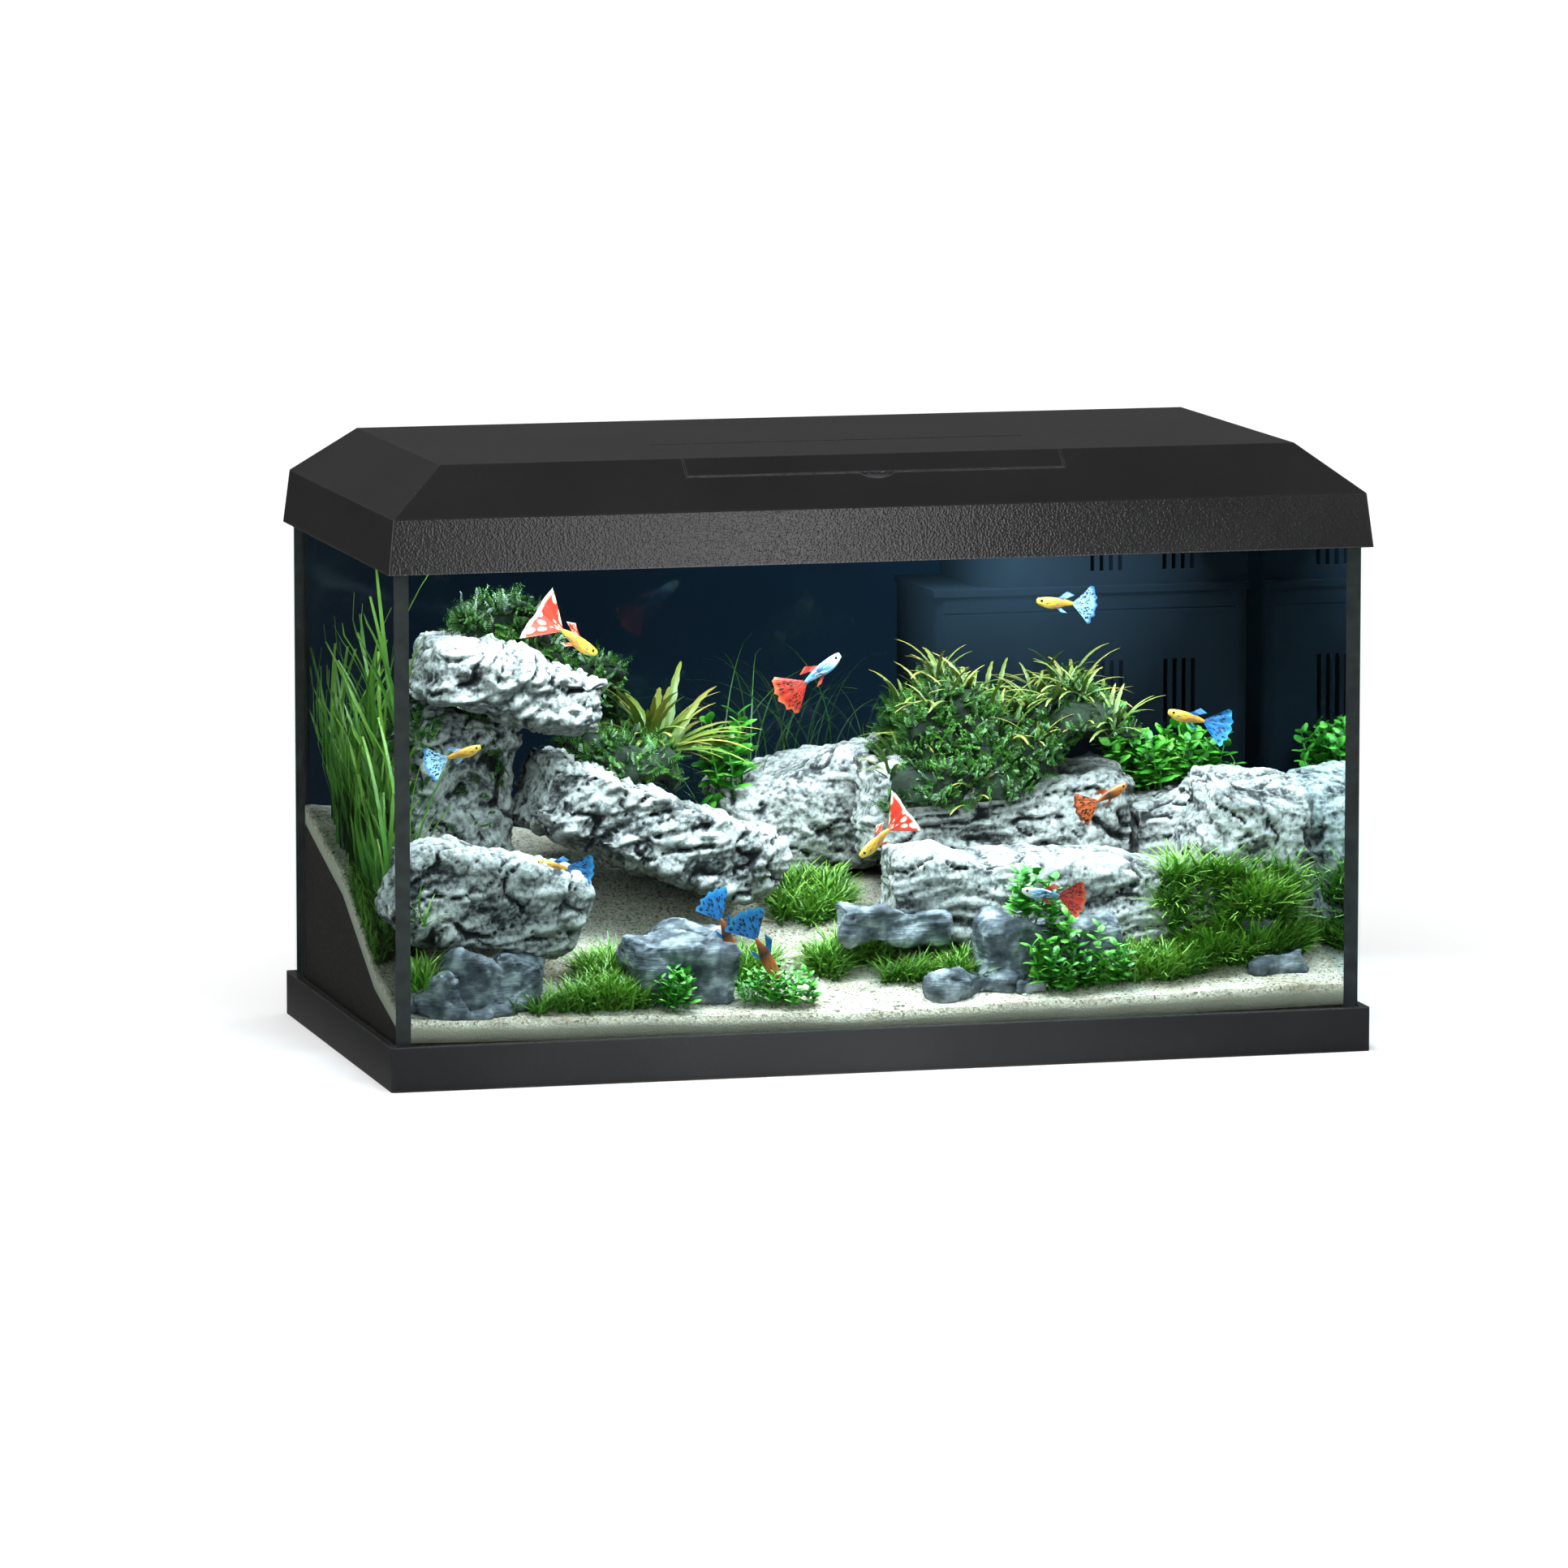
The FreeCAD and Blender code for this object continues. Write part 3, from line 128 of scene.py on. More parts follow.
def start(name):
    """A new empty material and its tree, with the object coordinates that patterns read."""
    material = bpy.data.materials.new(name)
    material.use_nodes = True
    tree = material.node_tree
    tree.nodes.clear()
    place = add(tree, "ShaderNodeTexCoord").outputs["Object"]
    return material, tree, place


def close(material, tree, shader):
    """Links the finished shader to the material's output."""
    add(tree, "ShaderNodeOutputMaterial", {"Surface": shader.outputs[0]})
    return material


def dress(material, *names):
    """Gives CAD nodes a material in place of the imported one."""
    for name in names:
        nodes[name].data.materials.clear()
        nodes[name].data.materials.append(material)


# %% [markdown]
# ## Floor, room and lamps
# The object stands on a white sweep in a white room. The room lights everything softly, but shiny
# surfaces see it much darker, as they would with black flags round the set, and the glass stays clear.
# Shiny surfaces see the floor dark too, except for a painted reflection: a band of floor round the middle
# glows for reflected rays only and paints the sheen on the base frame's front. Other gloss comes from the
# soft boxes. A tall soft box in front to the right draws the sheen along the hood's front band, and one on
# the left lifts that end.

# %% Stage
sweep = bmesh.new()
bmesh.ops.create_grid(sweep, x_segments=1, y_segments=1, size=40)
floor_mesh = bpy.data.meshes.new("floor")
sweep.to_mesh(floor_mesh)
sweep.free()
floor = bpy.data.objects.new("floor", floor_mesh)
scene.collection.objects.link(floor)
paper, tree, place = start("matt_white_paper")
fibre = add(tree, "ShaderNodeTexNoise", {"Vector": place, "Scale": 400.0, "Detail": 2.0})
weave = add(tree, "ShaderNodeBump", {"Height": fibre.outputs["Fac"], "Strength": 0.03, "Distance": 0.0005})
skin = add(
    tree,
    "ShaderNodeBsdfDiffuse",
    {"Color": "#ffffff", "Roughness": 0.5, "Normal": weave.outputs["Normal"]},
)
across = add(tree, "ShaderNodeSeparateXYZ", {"Vector": place})
# Painted reflection: for reflected rays the floor becomes a glow that is brightest at x = 0 and fades towards both
# sides. It paints the sheen on the base frame's front.
painted_reflection_rise = add(
    tree,
    "ShaderNodeMapRange",
    {"Value": across.outputs["X"], "From Min": -0.34, "From Max": 0.0, "To Min": 0.03, "To Max": 0.75},
)
painted_reflection_fade = add(
    tree, "ShaderNodeMapRange", {"Value": across.outputs["X"], "From Min": 0.0, "From Max": 0.26, "To Min": 1.0, "To Max": 0.02}
)
patch = add(tree, "ShaderNodeMath", {0: painted_reflection_rise.outputs[0], 1: painted_reflection_fade.outputs[0]}, operation="MULTIPLY")
painted_reflection_floor = add(tree, "ShaderNodeEmission", {"Color": "#ffffff", "Strength": patch.outputs[0]})
ray = add(tree, "ShaderNodeLightPath")
paper_seen = add(
    tree, "ShaderNodeMixShader", {0: ray.outputs["Is Glossy Ray"], 1: skin.outputs[0], 2: painted_reflection_floor.outputs[0]}
)
floor_mesh.materials.append(close(paper, tree, paper_seen))

world = bpy.data.worlds.new("white_room")
scene.world = world
world.use_nodes = True
room = world.node_tree
room.nodes.clear()
ray = add(room, "ShaderNodeLightPath")
bright = add(room, "ShaderNodeBackground", {"Color": "#ffffff", "Strength": 1.05})
flagged = add(room, "ShaderNodeBackground", {"Color": "#ffffff", "Strength": 0.085})
either = add(
    room,
    "ShaderNodeMixShader",
    {0: ray.outputs["Is Glossy Ray"], 1: bright.outputs[0], 2: flagged.outputs[0]},
)
add(room, "ShaderNodeOutputWorld", {"Surface": either.outputs[0]})


def soft_box(name, place, aim, width, height, power, colour="#ffffff"):
    """A rectangular area light that faces a point."""
    light = bpy.data.lights.new(name, "AREA")
    light.shape = "RECTANGLE"
    light.size, light.size_y, light.energy = width, height, power
    light.color = linear(colour)[:3]
    box = bpy.data.objects.new(name, light)
    scene.collection.objects.link(box)
    box.location = place
    box.rotation_euler = (Vector(aim) - Vector(place)).to_track_quat("-Z", "Y").to_euler()
    return box


soft_box("front_strip", (0.64, -3.0, 0.62), (0, -0.15, 0.3), 0.22, 0.9, 3.2)
soft_box("left_box", (-3.0, -0.9, 0.7), (0, 0, 0.3), 0.9, 0.9, 9)
soft_box("key_box", (-1.6, -3.2, 2.4), (0, 0, 0.2), 1.6, 1.6, 24)
scene.view_settings.view_transform = "Standard"
print("stage set")

# %% [markdown]
# ## Moulded black ABS
# The hood and base frame are injection-moulded ABS with a fine leathery grain etched into the mould, which
# breaks up the sheen. Two noises make it: broad cells 1.2 mm wide for the grain, and a slow mottling for
# the slightly uneven gloss of a large moulding. The real grain is about half as wide, but at that size
# it would not show. The edges carry a painted highlight: a lighter colour, patchy with the grain, stands
# for the light that the edges catch.

# %% Black ABS


def moulded_abs(name, dark, light, edge, gloss, grain, index=1.5, spill=None):
    """Grained plastic with a painted highlight on its edges; the index is lower under water, which leaves it less
    gloss.
    Spill is a place round which a painted glow stands for lamp light scattered by the water."""
    material, tree, place = start(name)
    cells = add(tree, "ShaderNodeTexVoronoi", {"Vector": place, "Scale": 1 / (1.2 * MM)}, feature="SMOOTH_F1")
    cells.inputs["Smoothness"].default_value = 0.8
    leather = add(tree, "ShaderNodeTexNoise", {"Vector": place, "Scale": 1 / (2.6 * MM), "Detail": 3.0})
    mottle = add(tree, "ShaderNodeTexNoise", {"Vector": place, "Scale": 1 / (90 * MM), "Detail": 4.0})
    both = add(
        tree, "ShaderNodeMath", {0: cells.outputs["Distance"], 1: leather.outputs["Fac"]}, operation="ADD"
    )
    etched = add(
        tree, "ShaderNodeBump", {"Height": both.outputs[0], "Strength": grain, "Distance": 0.25 * MM}
    )
    soft = add(tree, "ShaderNodeBevel", {"Radius": 1.5 * MM}, samples=4)
    sharp = add(tree, "ShaderNodeNewGeometry")
    turn = add(
        tree,
        "ShaderNodeVectorMath",
        {0: soft.outputs["Normal"], 1: sharp.outputs["Normal"]},
        operation="DOT_PRODUCT",
    )
    # Painted highlight: where the surface turns at an edge, the lighter edge colour is mixed in, patchy with the
    # grain.
    edge_turn = add(
        tree, "ShaderNodeMapRange", {"Value": turn.outputs["Value"], "From Min": 0.995, "From Max": 0.90}
    )
    painted_edge_highlight = add(
        tree, "ShaderNodeMath", {0: edge_turn.outputs[0], 1: leather.outputs["Fac"]}, operation="MULTIPLY"
    )
    body = add(
        tree,
        "ShaderNodeValToRGB",
        {"Fac": mottle.outputs["Fac"]},
        stops=((0.3, dark), (0.7, light)),
    )
    edge_highlighted = add(
        tree,
        "ShaderNodeMixRGB",
        {"Fac": painted_edge_highlight.outputs[0], "Color1": body.outputs["Color"], "Color2": edge},
    )
    sheen = add(
        tree,
        "ShaderNodeMapRange",
        {"Value": mottle.outputs["Fac"], "To Min": gloss - 0.05, "To Max": gloss + 0.07},
    )
    plastic = add(
        tree,
        "ShaderNodeBsdfPrincipled",
        {
            "Base Color": edge_highlighted.outputs["Color"],
            "Roughness": sheen.outputs[0],
            "IOR": index,
            "Normal": etched.outputs["Normal"],
        },
    )
    if spill:
        # Painted glow: an emission that fades within 0.2 m of the spill point stands for lamp light scattered by the
        # water.
        away = add(tree, "ShaderNodeVectorMath", {0: place, 1: spill}, operation="DISTANCE")
        painted_glow = add(
            tree,
            "ShaderNodeValToRGB",
            {"Fac": away.outputs["Value"]},
            stops=((0.0, "#33495a"), (0.05, "#22323f"), (0.12, "#05080b"), (0.2, "#000000")),
        )
        tree.links.new(painted_glow.outputs["Color"], plastic.inputs["Emission Color"])
        plastic.inputs["Emission Strength"].default_value = 1.0
    return close(material, tree, plastic)


hood_abs = moulded_abs("grained_black_abs", "#1f1f20", "#252526", "#5a5a5c", 0.15, 0.26)
dress(hood_abs, "hood_shell", "feeding_flap", "base_frame")
housing_low, housing_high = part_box("filter_housing")
lit_corner = (housing_low.x + 55 * MM, housing_low.y, housing_high.z - 45 * MM)
filter_abs = moulded_abs(
    "immersed_black_abs", "#0c1219", "#121a22", "#18212a", 0.5, 0.05, index=1.13, spill=lit_corner
)
dress(
    filter_abs,
    "filter_housing", "media_basket", "pump_body", "pump_cover", "riser_pipe", "outlet_nozzle",
    "heater_cap", "heater_clips", "led_end_caps",
)
print("plastic on", "hood, flap, frame and filter")

# %% [markdown]
# ## Clear glass
# Float glass in a picture is mostly what is behind it. Real refraction through five panes is slow and
# noisy, so the panes let light straight through with a breath of green, and add a faint reflection that
# grows towards grazing angles. Only a ray that comes from outside reflects: a ray inside the glass would
# meet total reflection, and the pane would turn black from the side. Fine dried droplets and wipe marks roughen the reflection here and there.

# %% Glass
material, tree, place = start("float_glass")
smear = add(tree, "ShaderNodeTexNoise", {"Vector": place, "Scale": 1 / (60 * MM), "Detail": 5.0})
wiped = add(tree, "ShaderNodeMapRange", {"Value": smear.outputs["Fac"], "To Min": 0.0, "To Max": 0.06})
angle = add(tree, "ShaderNodeFresnel", {"IOR": 1.05})
clear = add(tree, "ShaderNodeBsdfTransparent", {"Color": "#f8fdfc"})
shine = add(tree, "ShaderNodeBsdfGlossy", {"Color": "#ffffff", "Roughness": wiped.outputs[0]})
inside = add(tree, "ShaderNodeNewGeometry").outputs["Backfacing"]
outer = add(tree, "ShaderNodeMath", {0: 1.0, 1: inside}, operation="SUBTRACT")
share = add(tree, "ShaderNodeMath", {0: angle.outputs[0], 1: outer.outputs[0]}, operation="MULTIPLY")
mixed = add(tree, "ShaderNodeMixShader", {0: share.outputs[0], 1: clear.outputs[0], 2: shine.outputs[0]})
pane_glass = close(material, tree, mixed)
dress(pane_glass, "bottom_pane", "front_pane", "back_pane", "left_pane", "right_pane", "heater_tube")
print("glass on five panes and the heater")

# %% [markdown]
# ## Silicone, film and the small fittings
# Silicone cures to a satin black with a slightly wavy skin. The film behind the back pane is dark navy,
# lighter round a spot towards the top right. It glows faintly: a painted glow, brightest at that spot,
# which stands for the blue light that the lit water in front of it scatters. The lamp is
# black anodised aluminium with a frosted lens, and the small parts follow their usual makes.

# %% Fittings


def simple(name, dark, light, rough, pattern, depth, metal=0.0, glow=None):
    """A solid finish: two tones mottled at a pattern size in millimetres, and a bump of the same size."""
    material, tree, place = start(name)
    mottle = add(
        tree, "ShaderNodeTexNoise", {"Vector": place, "Scale": 1 / (pattern * MM), "Detail": 5.0}
    )
    tone = add(
        tree, "ShaderNodeValToRGB", {"Fac": mottle.outputs["Fac"]}, stops=((0.35, dark), (0.65, light))
    )
    bump = add(
        tree, "ShaderNodeBump", {"Height": mottle.outputs["Fac"], "Strength": 0.5, "Distance": depth * MM}
    )
    gloss = add(
        tree,
        "ShaderNodeMapRange",
        {"Value": mottle.outputs["Fac"], "To Min": rough - 0.08, "To Max": rough + 0.08},
    )
    solid = add(
        tree,
        "ShaderNodeBsdfPrincipled",
        {
            "Base Color": tone.outputs["Color"],
            "Roughness": gloss.outputs[0],
            "Metallic": metal,
            "Normal": bump.outputs["Normal"],
        },
    )
    if glow:
        solid.inputs["Emission Color"].default_value = linear(glow[0])
        solid.inputs["Emission Strength"].default_value = glow[1]
    return close(material, tree, solid)


silicone = simple("cured_black_silicone", "#242627", "#303233", 0.35, 8, 0.2)
dress(silicone, "silicone_seams")
rubber = simple("soft_black_rubber", "#151515", "#1f1f1f", 0.7, 1.5, 0.1)
dress(rubber, "filter_mounts", "pump_feet", "lamp_gland")
dress(simple("black_anodised_aluminium", "#141516", "#1d1e20", 0.45, 0.8, 0.02, metal=1.0), "led_housing")
dress(simple("brushed_stainless", "#9b9b9b", "#b0b0b0", 0.3, 0.6, 0.02, metal=1.0), "led_brackets",
      "led_screws", "flap_hinge_pins")
dress(simple("white_board_mask", "#e6e6e0", "#f4f4ee", 0.4, 3, 0.02), "led_board")
dress(simple("frosted_lens", "#eef4fa", "#ffffff", 0.5, 1, 0.05, glow=("#eaf4ff", 6.0)), "led_lens")
dress(simple("blue_coarse_foam", "#1f3f66", "#3f74a8", 0.95, 3, 1.5), "foam_coarse")
dress(simple("black_fine_foam", "#15171a", "#2a2d31", 0.95, 1.5, 0.8), "foam_fine", "carbon_pad")
dress(simple("white_polyester_floss", "#c9cbc6", "#eceee9", 0.95, 2, 1.2), "poly_pad")
dress(simple("white_ceramic", "#d9d2c2", "#e9e4d8", 0.2, 2, 0.01), "pump_shaft")
dress(simple("ferrite_magnet", "#1c1a1a", "#2a2727", 0.55, 1, 0.05), "pump_rotor")
dress(simple("wound_element", "#8a6a3a", "#b8935a", 0.4, 1, 0.2, metal=1.0), "heater_core")
dress(simple("red_dial_abs", "#8c1d16", "#a82a20", 0.4, 2, 0.02), "heater_dial")
dress(simple("dark_plant_soil", "#14100d", "#33271e", 0.95, 2.5, 1.2), "soil_base")

# %% Background film
material, tree, place = start("navy_background_film")
# Lighter round a spot towards the top right.
centred = add(tree, "ShaderNodeMapping", {"Vector": place, "Location": (-0.2, 0, -0.3)})
distance = add(tree, "ShaderNodeVectorMath", {0: centred.outputs[0]}, operation="LENGTH")
fade = add(
    tree,
    "ShaderNodeValToRGB",
    {"Fac": distance.outputs["Value"]},
    stops=((0.05, "#2b4a66"), (0.20, "#1b2c3e"), (0.42, "#141f2c")),
)
printed = add(tree, "ShaderNodeTexNoise", {"Vector": place, "Scale": 1 / (70 * MM), "Detail": 3.0})
cloudy = add(
    tree,
    "ShaderNodeMixRGB",
    {"Fac": 0.3, "Color1": fade.outputs["Color"], "Color2": printed.outputs["Fac"]},
    blend_type="MULTIPLY",
)
# Painted glow: the film emits its own colour, standing for the blue light scattered by the lit water.
film = add(
    tree,
    "ShaderNodeBsdfPrincipled",
    {
        "Base Color": cloudy.outputs["Color"],
        "Roughness": 0.6,
        "Emission Color": cloudy.outputs["Color"],
        "Emission Strength": 0.8,
    },
)
dress(close(material, tree, film), "background_film")
print("fittings dressed")

# %% [markdown]
# ## Keeping new pieces
# Each new piece becomes one object with its place in its mesh. `keep` links it, lets it ride on the glass
# tank and, where it stands for a plain CAD block, hides that block.

# %% Pieces


def keep(name, mesh, material, *stands_for, slot=None, smooth=True):
    piece = bpy.data.objects.new(name, mesh)
    scene.collection.objects.link(piece)
    for finish in material if isinstance(material, tuple) else (material,):
        mesh.materials.append(finish)
    mesh.shade_smooth() if smooth else mesh.shade_flat()
    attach(piece, "tank")
    if stands_for:
        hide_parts(*stands_for)
    print(f"{name}: {len(mesh.polygons)} faces")
    return piece


def finished(bm, name):
    """Turns a bmesh into a mesh and frees it."""
    mesh = bpy.data.meshes.new(name)
    bm.to_mesh(mesh)
    bm.free()
    return mesh


def merged(name):
    """A CAD node's mesh as a bmesh with its doubled corners merged."""
    bm = bmesh.new()
    bm.from_mesh(nodes[name].data)
    bmesh.ops.remove_doubles(bm, verts=bm.verts, dist=0.001 * MM)
    return bm


def even_mesh(bm, voxel):
    """Remeshes a closed shape to even small quads, ready for sculpting."""
    blank = bpy.data.objects.new("blank", finished(bm, "blank"))
    scene.collection.objects.link(blank)
    remesh = blank.modifiers.new("even", "REMESH")
    remesh.mode = "VOXEL"
    remesh.voxel_size = voxel
    graph = bpy.context.evaluated_depsgraph_get()
    mesh = bpy.data.meshes.new_from_object(blank.evaluated_get(graph))
    bpy.data.objects.remove(blank)
    result = bmesh.new()
    result.from_mesh(mesh)
    return result


# %% [markdown]
# ## Sand
# The ground is a bed of pale quartz sand that slopes up to the back. A grid over the tank floor is
# dropped onto the design's ground, smoothed so that its creases turn to gentle slopes, roughened with
# small dunes, and pulled down into a closed slab. Its front edge lies against the glass.

# %% Sand bed
random.seed(4)
bed = merged("sand_bed")
ground = BVHTree.FromBMesh(bed)
bed.free()
bed_low, bed_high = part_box("sand_bed")
sand = bmesh.new()
bmesh.ops.create_grid(sand, x_segments=236, y_segments=116, size=0.5)
span = bed_high - bed_low
bmesh.ops.scale(sand, verts=sand.verts, vec=(span.x - 0.2 * MM, span.y - 0.2 * MM, 1))


def ground_at(x, y):
    """The height of the design's ground under a point."""
    hit = ground.ray_cast(Vector((x, y, 1)), Vector((0, 0, -1)))[0]
    return hit.z if hit else bed_low.z


inset = 0.4 * MM
for vert in sand.verts:
    x = min(max(vert.co.x, bed_low.x + inset), bed_high.x - inset)
    y = min(max(vert.co.y, bed_low.y + inset), bed_high.y - inset)
    if abs(x) > 0.290 and abs(y) > 0.140:
        x, y = math.copysign(0.290, x), math.copysign(0.140, y)
    vert.co.z = ground_at(x, y)
for _ in range(24):
    bmesh.ops.smooth_vert(sand, verts=sand.verts, factor=0.5, use_axis_z=True)
for vert in sand.verts:
    dune = noise.noise(vert.co / (38 * MM)) * 1.6 * MM + noise.noise(vert.co / (7 * MM)) * 0.5 * MM
    vert.co.z += dune
rim = [edge for edge in sand.edges if edge.is_boundary]
walls = bmesh.ops.extrude_edge_only(sand, edges=rim)["geom"]
for vert in (item for item in walls if isinstance(item, bmesh.types.BMVert)):
    vert.co.z = max(vert.co.z - 14 * MM, 16 * MM)
skirt_edges = [edge for edge in sand.edges if edge.is_boundary]
bmesh.ops.holes_fill(sand, edges=skirt_edges)
bmesh.ops.recalc_face_normals(sand, faces=sand.faces)
sand_tree = BVHTree.FromBMesh(sand)

material, tree, place = start("quartz_sand")
grains = add(tree, "ShaderNodeTexVoronoi", {"Vector": place, "Scale": 1 / (1.3 * MM)})
patch = add(tree, "ShaderNodeTexNoise", {"Vector": place, "Scale": 1 / (35 * MM), "Detail": 6.0})
tone = add(
    tree,
    "ShaderNodeValToRGB",
    {"Fac": grains.outputs["Color"]},
    stops=((0.12, "#6c6052"), (0.3, "#b6a893"), (0.7, "#d2c7b5"), (0.95, "#e9e1d2")),
)
damp = add(
    tree,
    "ShaderNodeValToRGB",
    {"Fac": patch.outputs["Fac"]},
    stops=((0.3, "#b5a58f"), (0.55, "#ffffff")),
)
stained = add(
    tree,
    "ShaderNodeMixRGB",
    {"Fac": 0.7, "Color1": tone.outputs["Color"], "Color2": damp.outputs["Color"]},
    blend_type="MULTIPLY",
)
facing = add(tree, "ShaderNodeSeparateXYZ", {"Vector": add(tree, "ShaderNodeNewGeometry").outputs["Normal"]})
upward = add(
    tree, "ShaderNodeMapRange", {"Value": facing.outputs["Z"], "From Min": 0.2, "From Max": 0.6}
)
cutface = add(
    tree,
    "ShaderNodeMixRGB",
    {"Fac": upward.outputs[0], "Color1": "#b0a898", "Color2": stained.outputs["Color"]},
)
coarse = add(
    tree,
    "ShaderNodeBump",
    {"Height": grains.outputs["Distance"], "Strength": 0.6, "Distance": 0.5 * MM},
)
quartz = add(
    tree,
    "ShaderNodeBsdfPrincipled",
    {"Base Color": cutface.outputs["Color"], "Roughness": 0.85, "Normal": coarse.outputs["Normal"]},
)
sand_material = close(material, tree, quartz)
keep("sand_surface", finished(sand, "sand_surface"), sand_material, "sand_bed", slot="pale_sand")

# %% [markdown]
# ## Weathered limestone
# The rocks are grey limestone that water has eaten into ridges, pits and cracks, with a pale crust on
# its high places. Their hollows are coloured near black, partly the stone's own dark and partly painted shade,
# and faces turned downwards carry painted shade. Each design block is remeshed to small quads, softened,
# and then sculpted: broad lumps, sharp ridges, small pits and thin cracks, all drawn out along the rock's
# bedding. The depth of the carving is kept in an attribute, so the colour knows where the hollows are.

# %% Rock sculpting
ROCKS = {
    # bedding angle in degrees, stretch along it, depths of cracks, ridges and pits in millimetres
    "rock_left_top": (16, 2.0, 4.5, 8.0, 2.6),
    "rock_left_back": (32, 1.6, 4.0, 6.0, 2.0),
    "rock_left_slab": (26, 2.2, 5.0, 8.0, 2.4),
    "rock_left_front": (14, 2.0, 5.0, 6.0, 1.4),
    "rock_centre_back": (-20, 2.4, 3.5, 5.0, 1.2),
    "rock_mound": (4, 3.0, 4.5, 6.0, 1.8),
    "rock_ledge": (9, 4.0, 5.5, 5.5, 1.6),
    "rock_right": (-14, 2.6, 3.0, 4.0, 1.0),
    "rock_right_peak": (-34, 2.0, 3.5, 5.5, 1.4),
}


def carve(bm, bedding, stretch, crack, ridge, pit, softness=6, grain=1.0, lumps=9):
    """Moves each point inwards by the carving's depth there, and records how deep it is."""
    for _ in range(softness):
        bmesh.ops.smooth_vert(
            bm, verts=bm.verts, factor=0.5, use_axis_x=True, use_axis_y=True, use_axis_z=True
        )
    bm.normal_update()
    hollow = bm.verts.layers.float.new("hollow")
    layers = Matrix.Diagonal((1 / stretch, 1.2 / stretch, 1)) @ Matrix.Rotation(math.radians(bedding), 3, "Y")
    for vert in bm.verts:
        spot = vert.co.copy()
        bed = layers @ spot
        bed += noise.noise_vector(spot / (48 * grain * MM)) * 11 * grain * MM
        bed += noise.noise_vector(spot / (15 * grain * MM)) * 3 * grain * MM
        lump = noise.noise(spot / (46 * grain * MM))
        sharp = noise.ridged_multi_fractal(bed / (21 * grain * MM), 0.85, 2.3, 5, 1.0, 2.0)
        sharp = min(max(sharp / 2.5, 0), 1)
        cell = noise.voronoi(bed / (7.5 * grain * MM))[0]
        pitted = min(max((cell[1] - cell[0]) * 2.2, 0), 1)
        split = 0
        for period, width, share in ((19, 0.06, 1.0), (9, 0.05, 0.5)):
            near = abs(noise.noise(bed / (period * grain * MM) + Vector((period, 7, 3))))
            broken = noise.noise(spot / (14 * grain * MM)) > -0.15
            split = max(split, broken * share * max(0, 1 - near / width))
        fine = noise.fractal(bed / (6 * grain * MM), 0.7, 2.1, 4)
        depth = (1 - sharp) * ridge + (1 - pitted) * pit + split * crack - fine * 0.9 * grain
        vert[hollow] = min(1, max(0, (1 - sharp) * 0.55 + (1 - pitted) * 0.2 + split * 0.7 - fine * 0.22))
        vert.co += vert.normal * (lump * lumps * grain - depth + ridge * 0.5 + 2.0 * grain) * MM
    return bm


material, tree, place = start("weathered_limestone")
depth = add(tree, "ShaderNodeAttribute", attribute_name="hollow").outputs["Fac"]
stain = add(tree, "ShaderNodeTexNoise", {"Vector": place, "Scale": 1 / (34 * MM), "Detail": 8.0})
speck = add(tree, "ShaderNodeTexNoise", {"Vector": place, "Scale": 1 / (3.2 * MM), "Detail": 6.0})
vein = add(
    tree, "ShaderNodeTexNoise", {"Vector": place, "Scale": 1 / (16 * MM), "Detail": 9.0, "Distortion": 1.8}
)
veined = add(
    tree,
    "ShaderNodeValToRGB",
    {"Fac": vein.outputs["Fac"]},
    stops=((0.44, 1.0), (0.495, 0.0), (0.53, 1.0)),
)
muddle = add(
    tree, "ShaderNodeMath", {0: speck.outputs["Fac"], 1: 1.1, 2: -0.55}, operation="MULTIPLY_ADD"
)
darkness = add(tree, "ShaderNodeMath", {0: depth, 1: muddle.outputs[0]}, operation="ADD")
patches = add(
    tree, "ShaderNodeMath", {0: stain.outputs["Fac"], 1: 0.5, 2: -0.25}, operation="MULTIPLY_ADD"
)
total = add(tree, "ShaderNodeMath", {0: darkness.outputs[0], 1: patches.outputs[0]}, operation="ADD")
# From the pale crust to near black in the hollows: partly the stone's own dark, partly painted shade.
crust_and_hollow_shade = add(
    tree,
    "ShaderNodeValToRGB",
    {"Fac": total.outputs[0]},
    stops=((0.10, "#c9c7c1"), (0.32, "#b3b2ad"), (0.52, "#858480"), (0.68, "#454545"), (0.88, "#171718")),
)
lined = add(
    tree,
    "ShaderNodeMixRGB",
    {"Fac": 0.3, "Color1": crust_and_hollow_shade.outputs["Color"], "Color2": veined.outputs["Color"]},
    blend_type="MULTIPLY",
)
# Painted shade: faces turned downwards are darkened, to 0.3 for those that point down steeply.
facing = add(tree, "ShaderNodeSeparateXYZ", {"Vector": add(tree, "ShaderNodeNewGeometry").outputs["Normal"]})
under = add(
    tree,
    "ShaderNodeMapRange",
    {"Value": facing.outputs["Z"], "From Min": -0.6, "From Max": 0.0, "To Min": 0.3, "To Max": 1.0},
)
shaded = add(
    tree,
    "ShaderNodeMixRGB",
    {"Fac": 1.0, "Color1": lined.outputs["Color"], "Color2": under.outputs[0]},
    blend_type="MULTIPLY",
)
rough_bump = add(
    tree, "ShaderNodeBump", {"Height": speck.outputs["Fac"], "Strength": 0.9, "Distance": 1.2 * MM}
)
stone = add(
    tree,
    "ShaderNodeBsdfPrincipled",
    {"Base Color": shaded.outputs["Color"], "Roughness": 0.8, "Normal": rough_bump.outputs["Normal"]},
)
limestone = close(material, tree, stone)

surfaces = [sand_tree]
for name, cuts in ROCKS.items():
    rock = carve(even_mesh(merged(name), 1.7 * MM), *cuts)
    surfaces.append(BVHTree.FromBMesh(rock))
    keep(name + "_stone", finished(rock, name), limestone, name, slot="grey_stone")

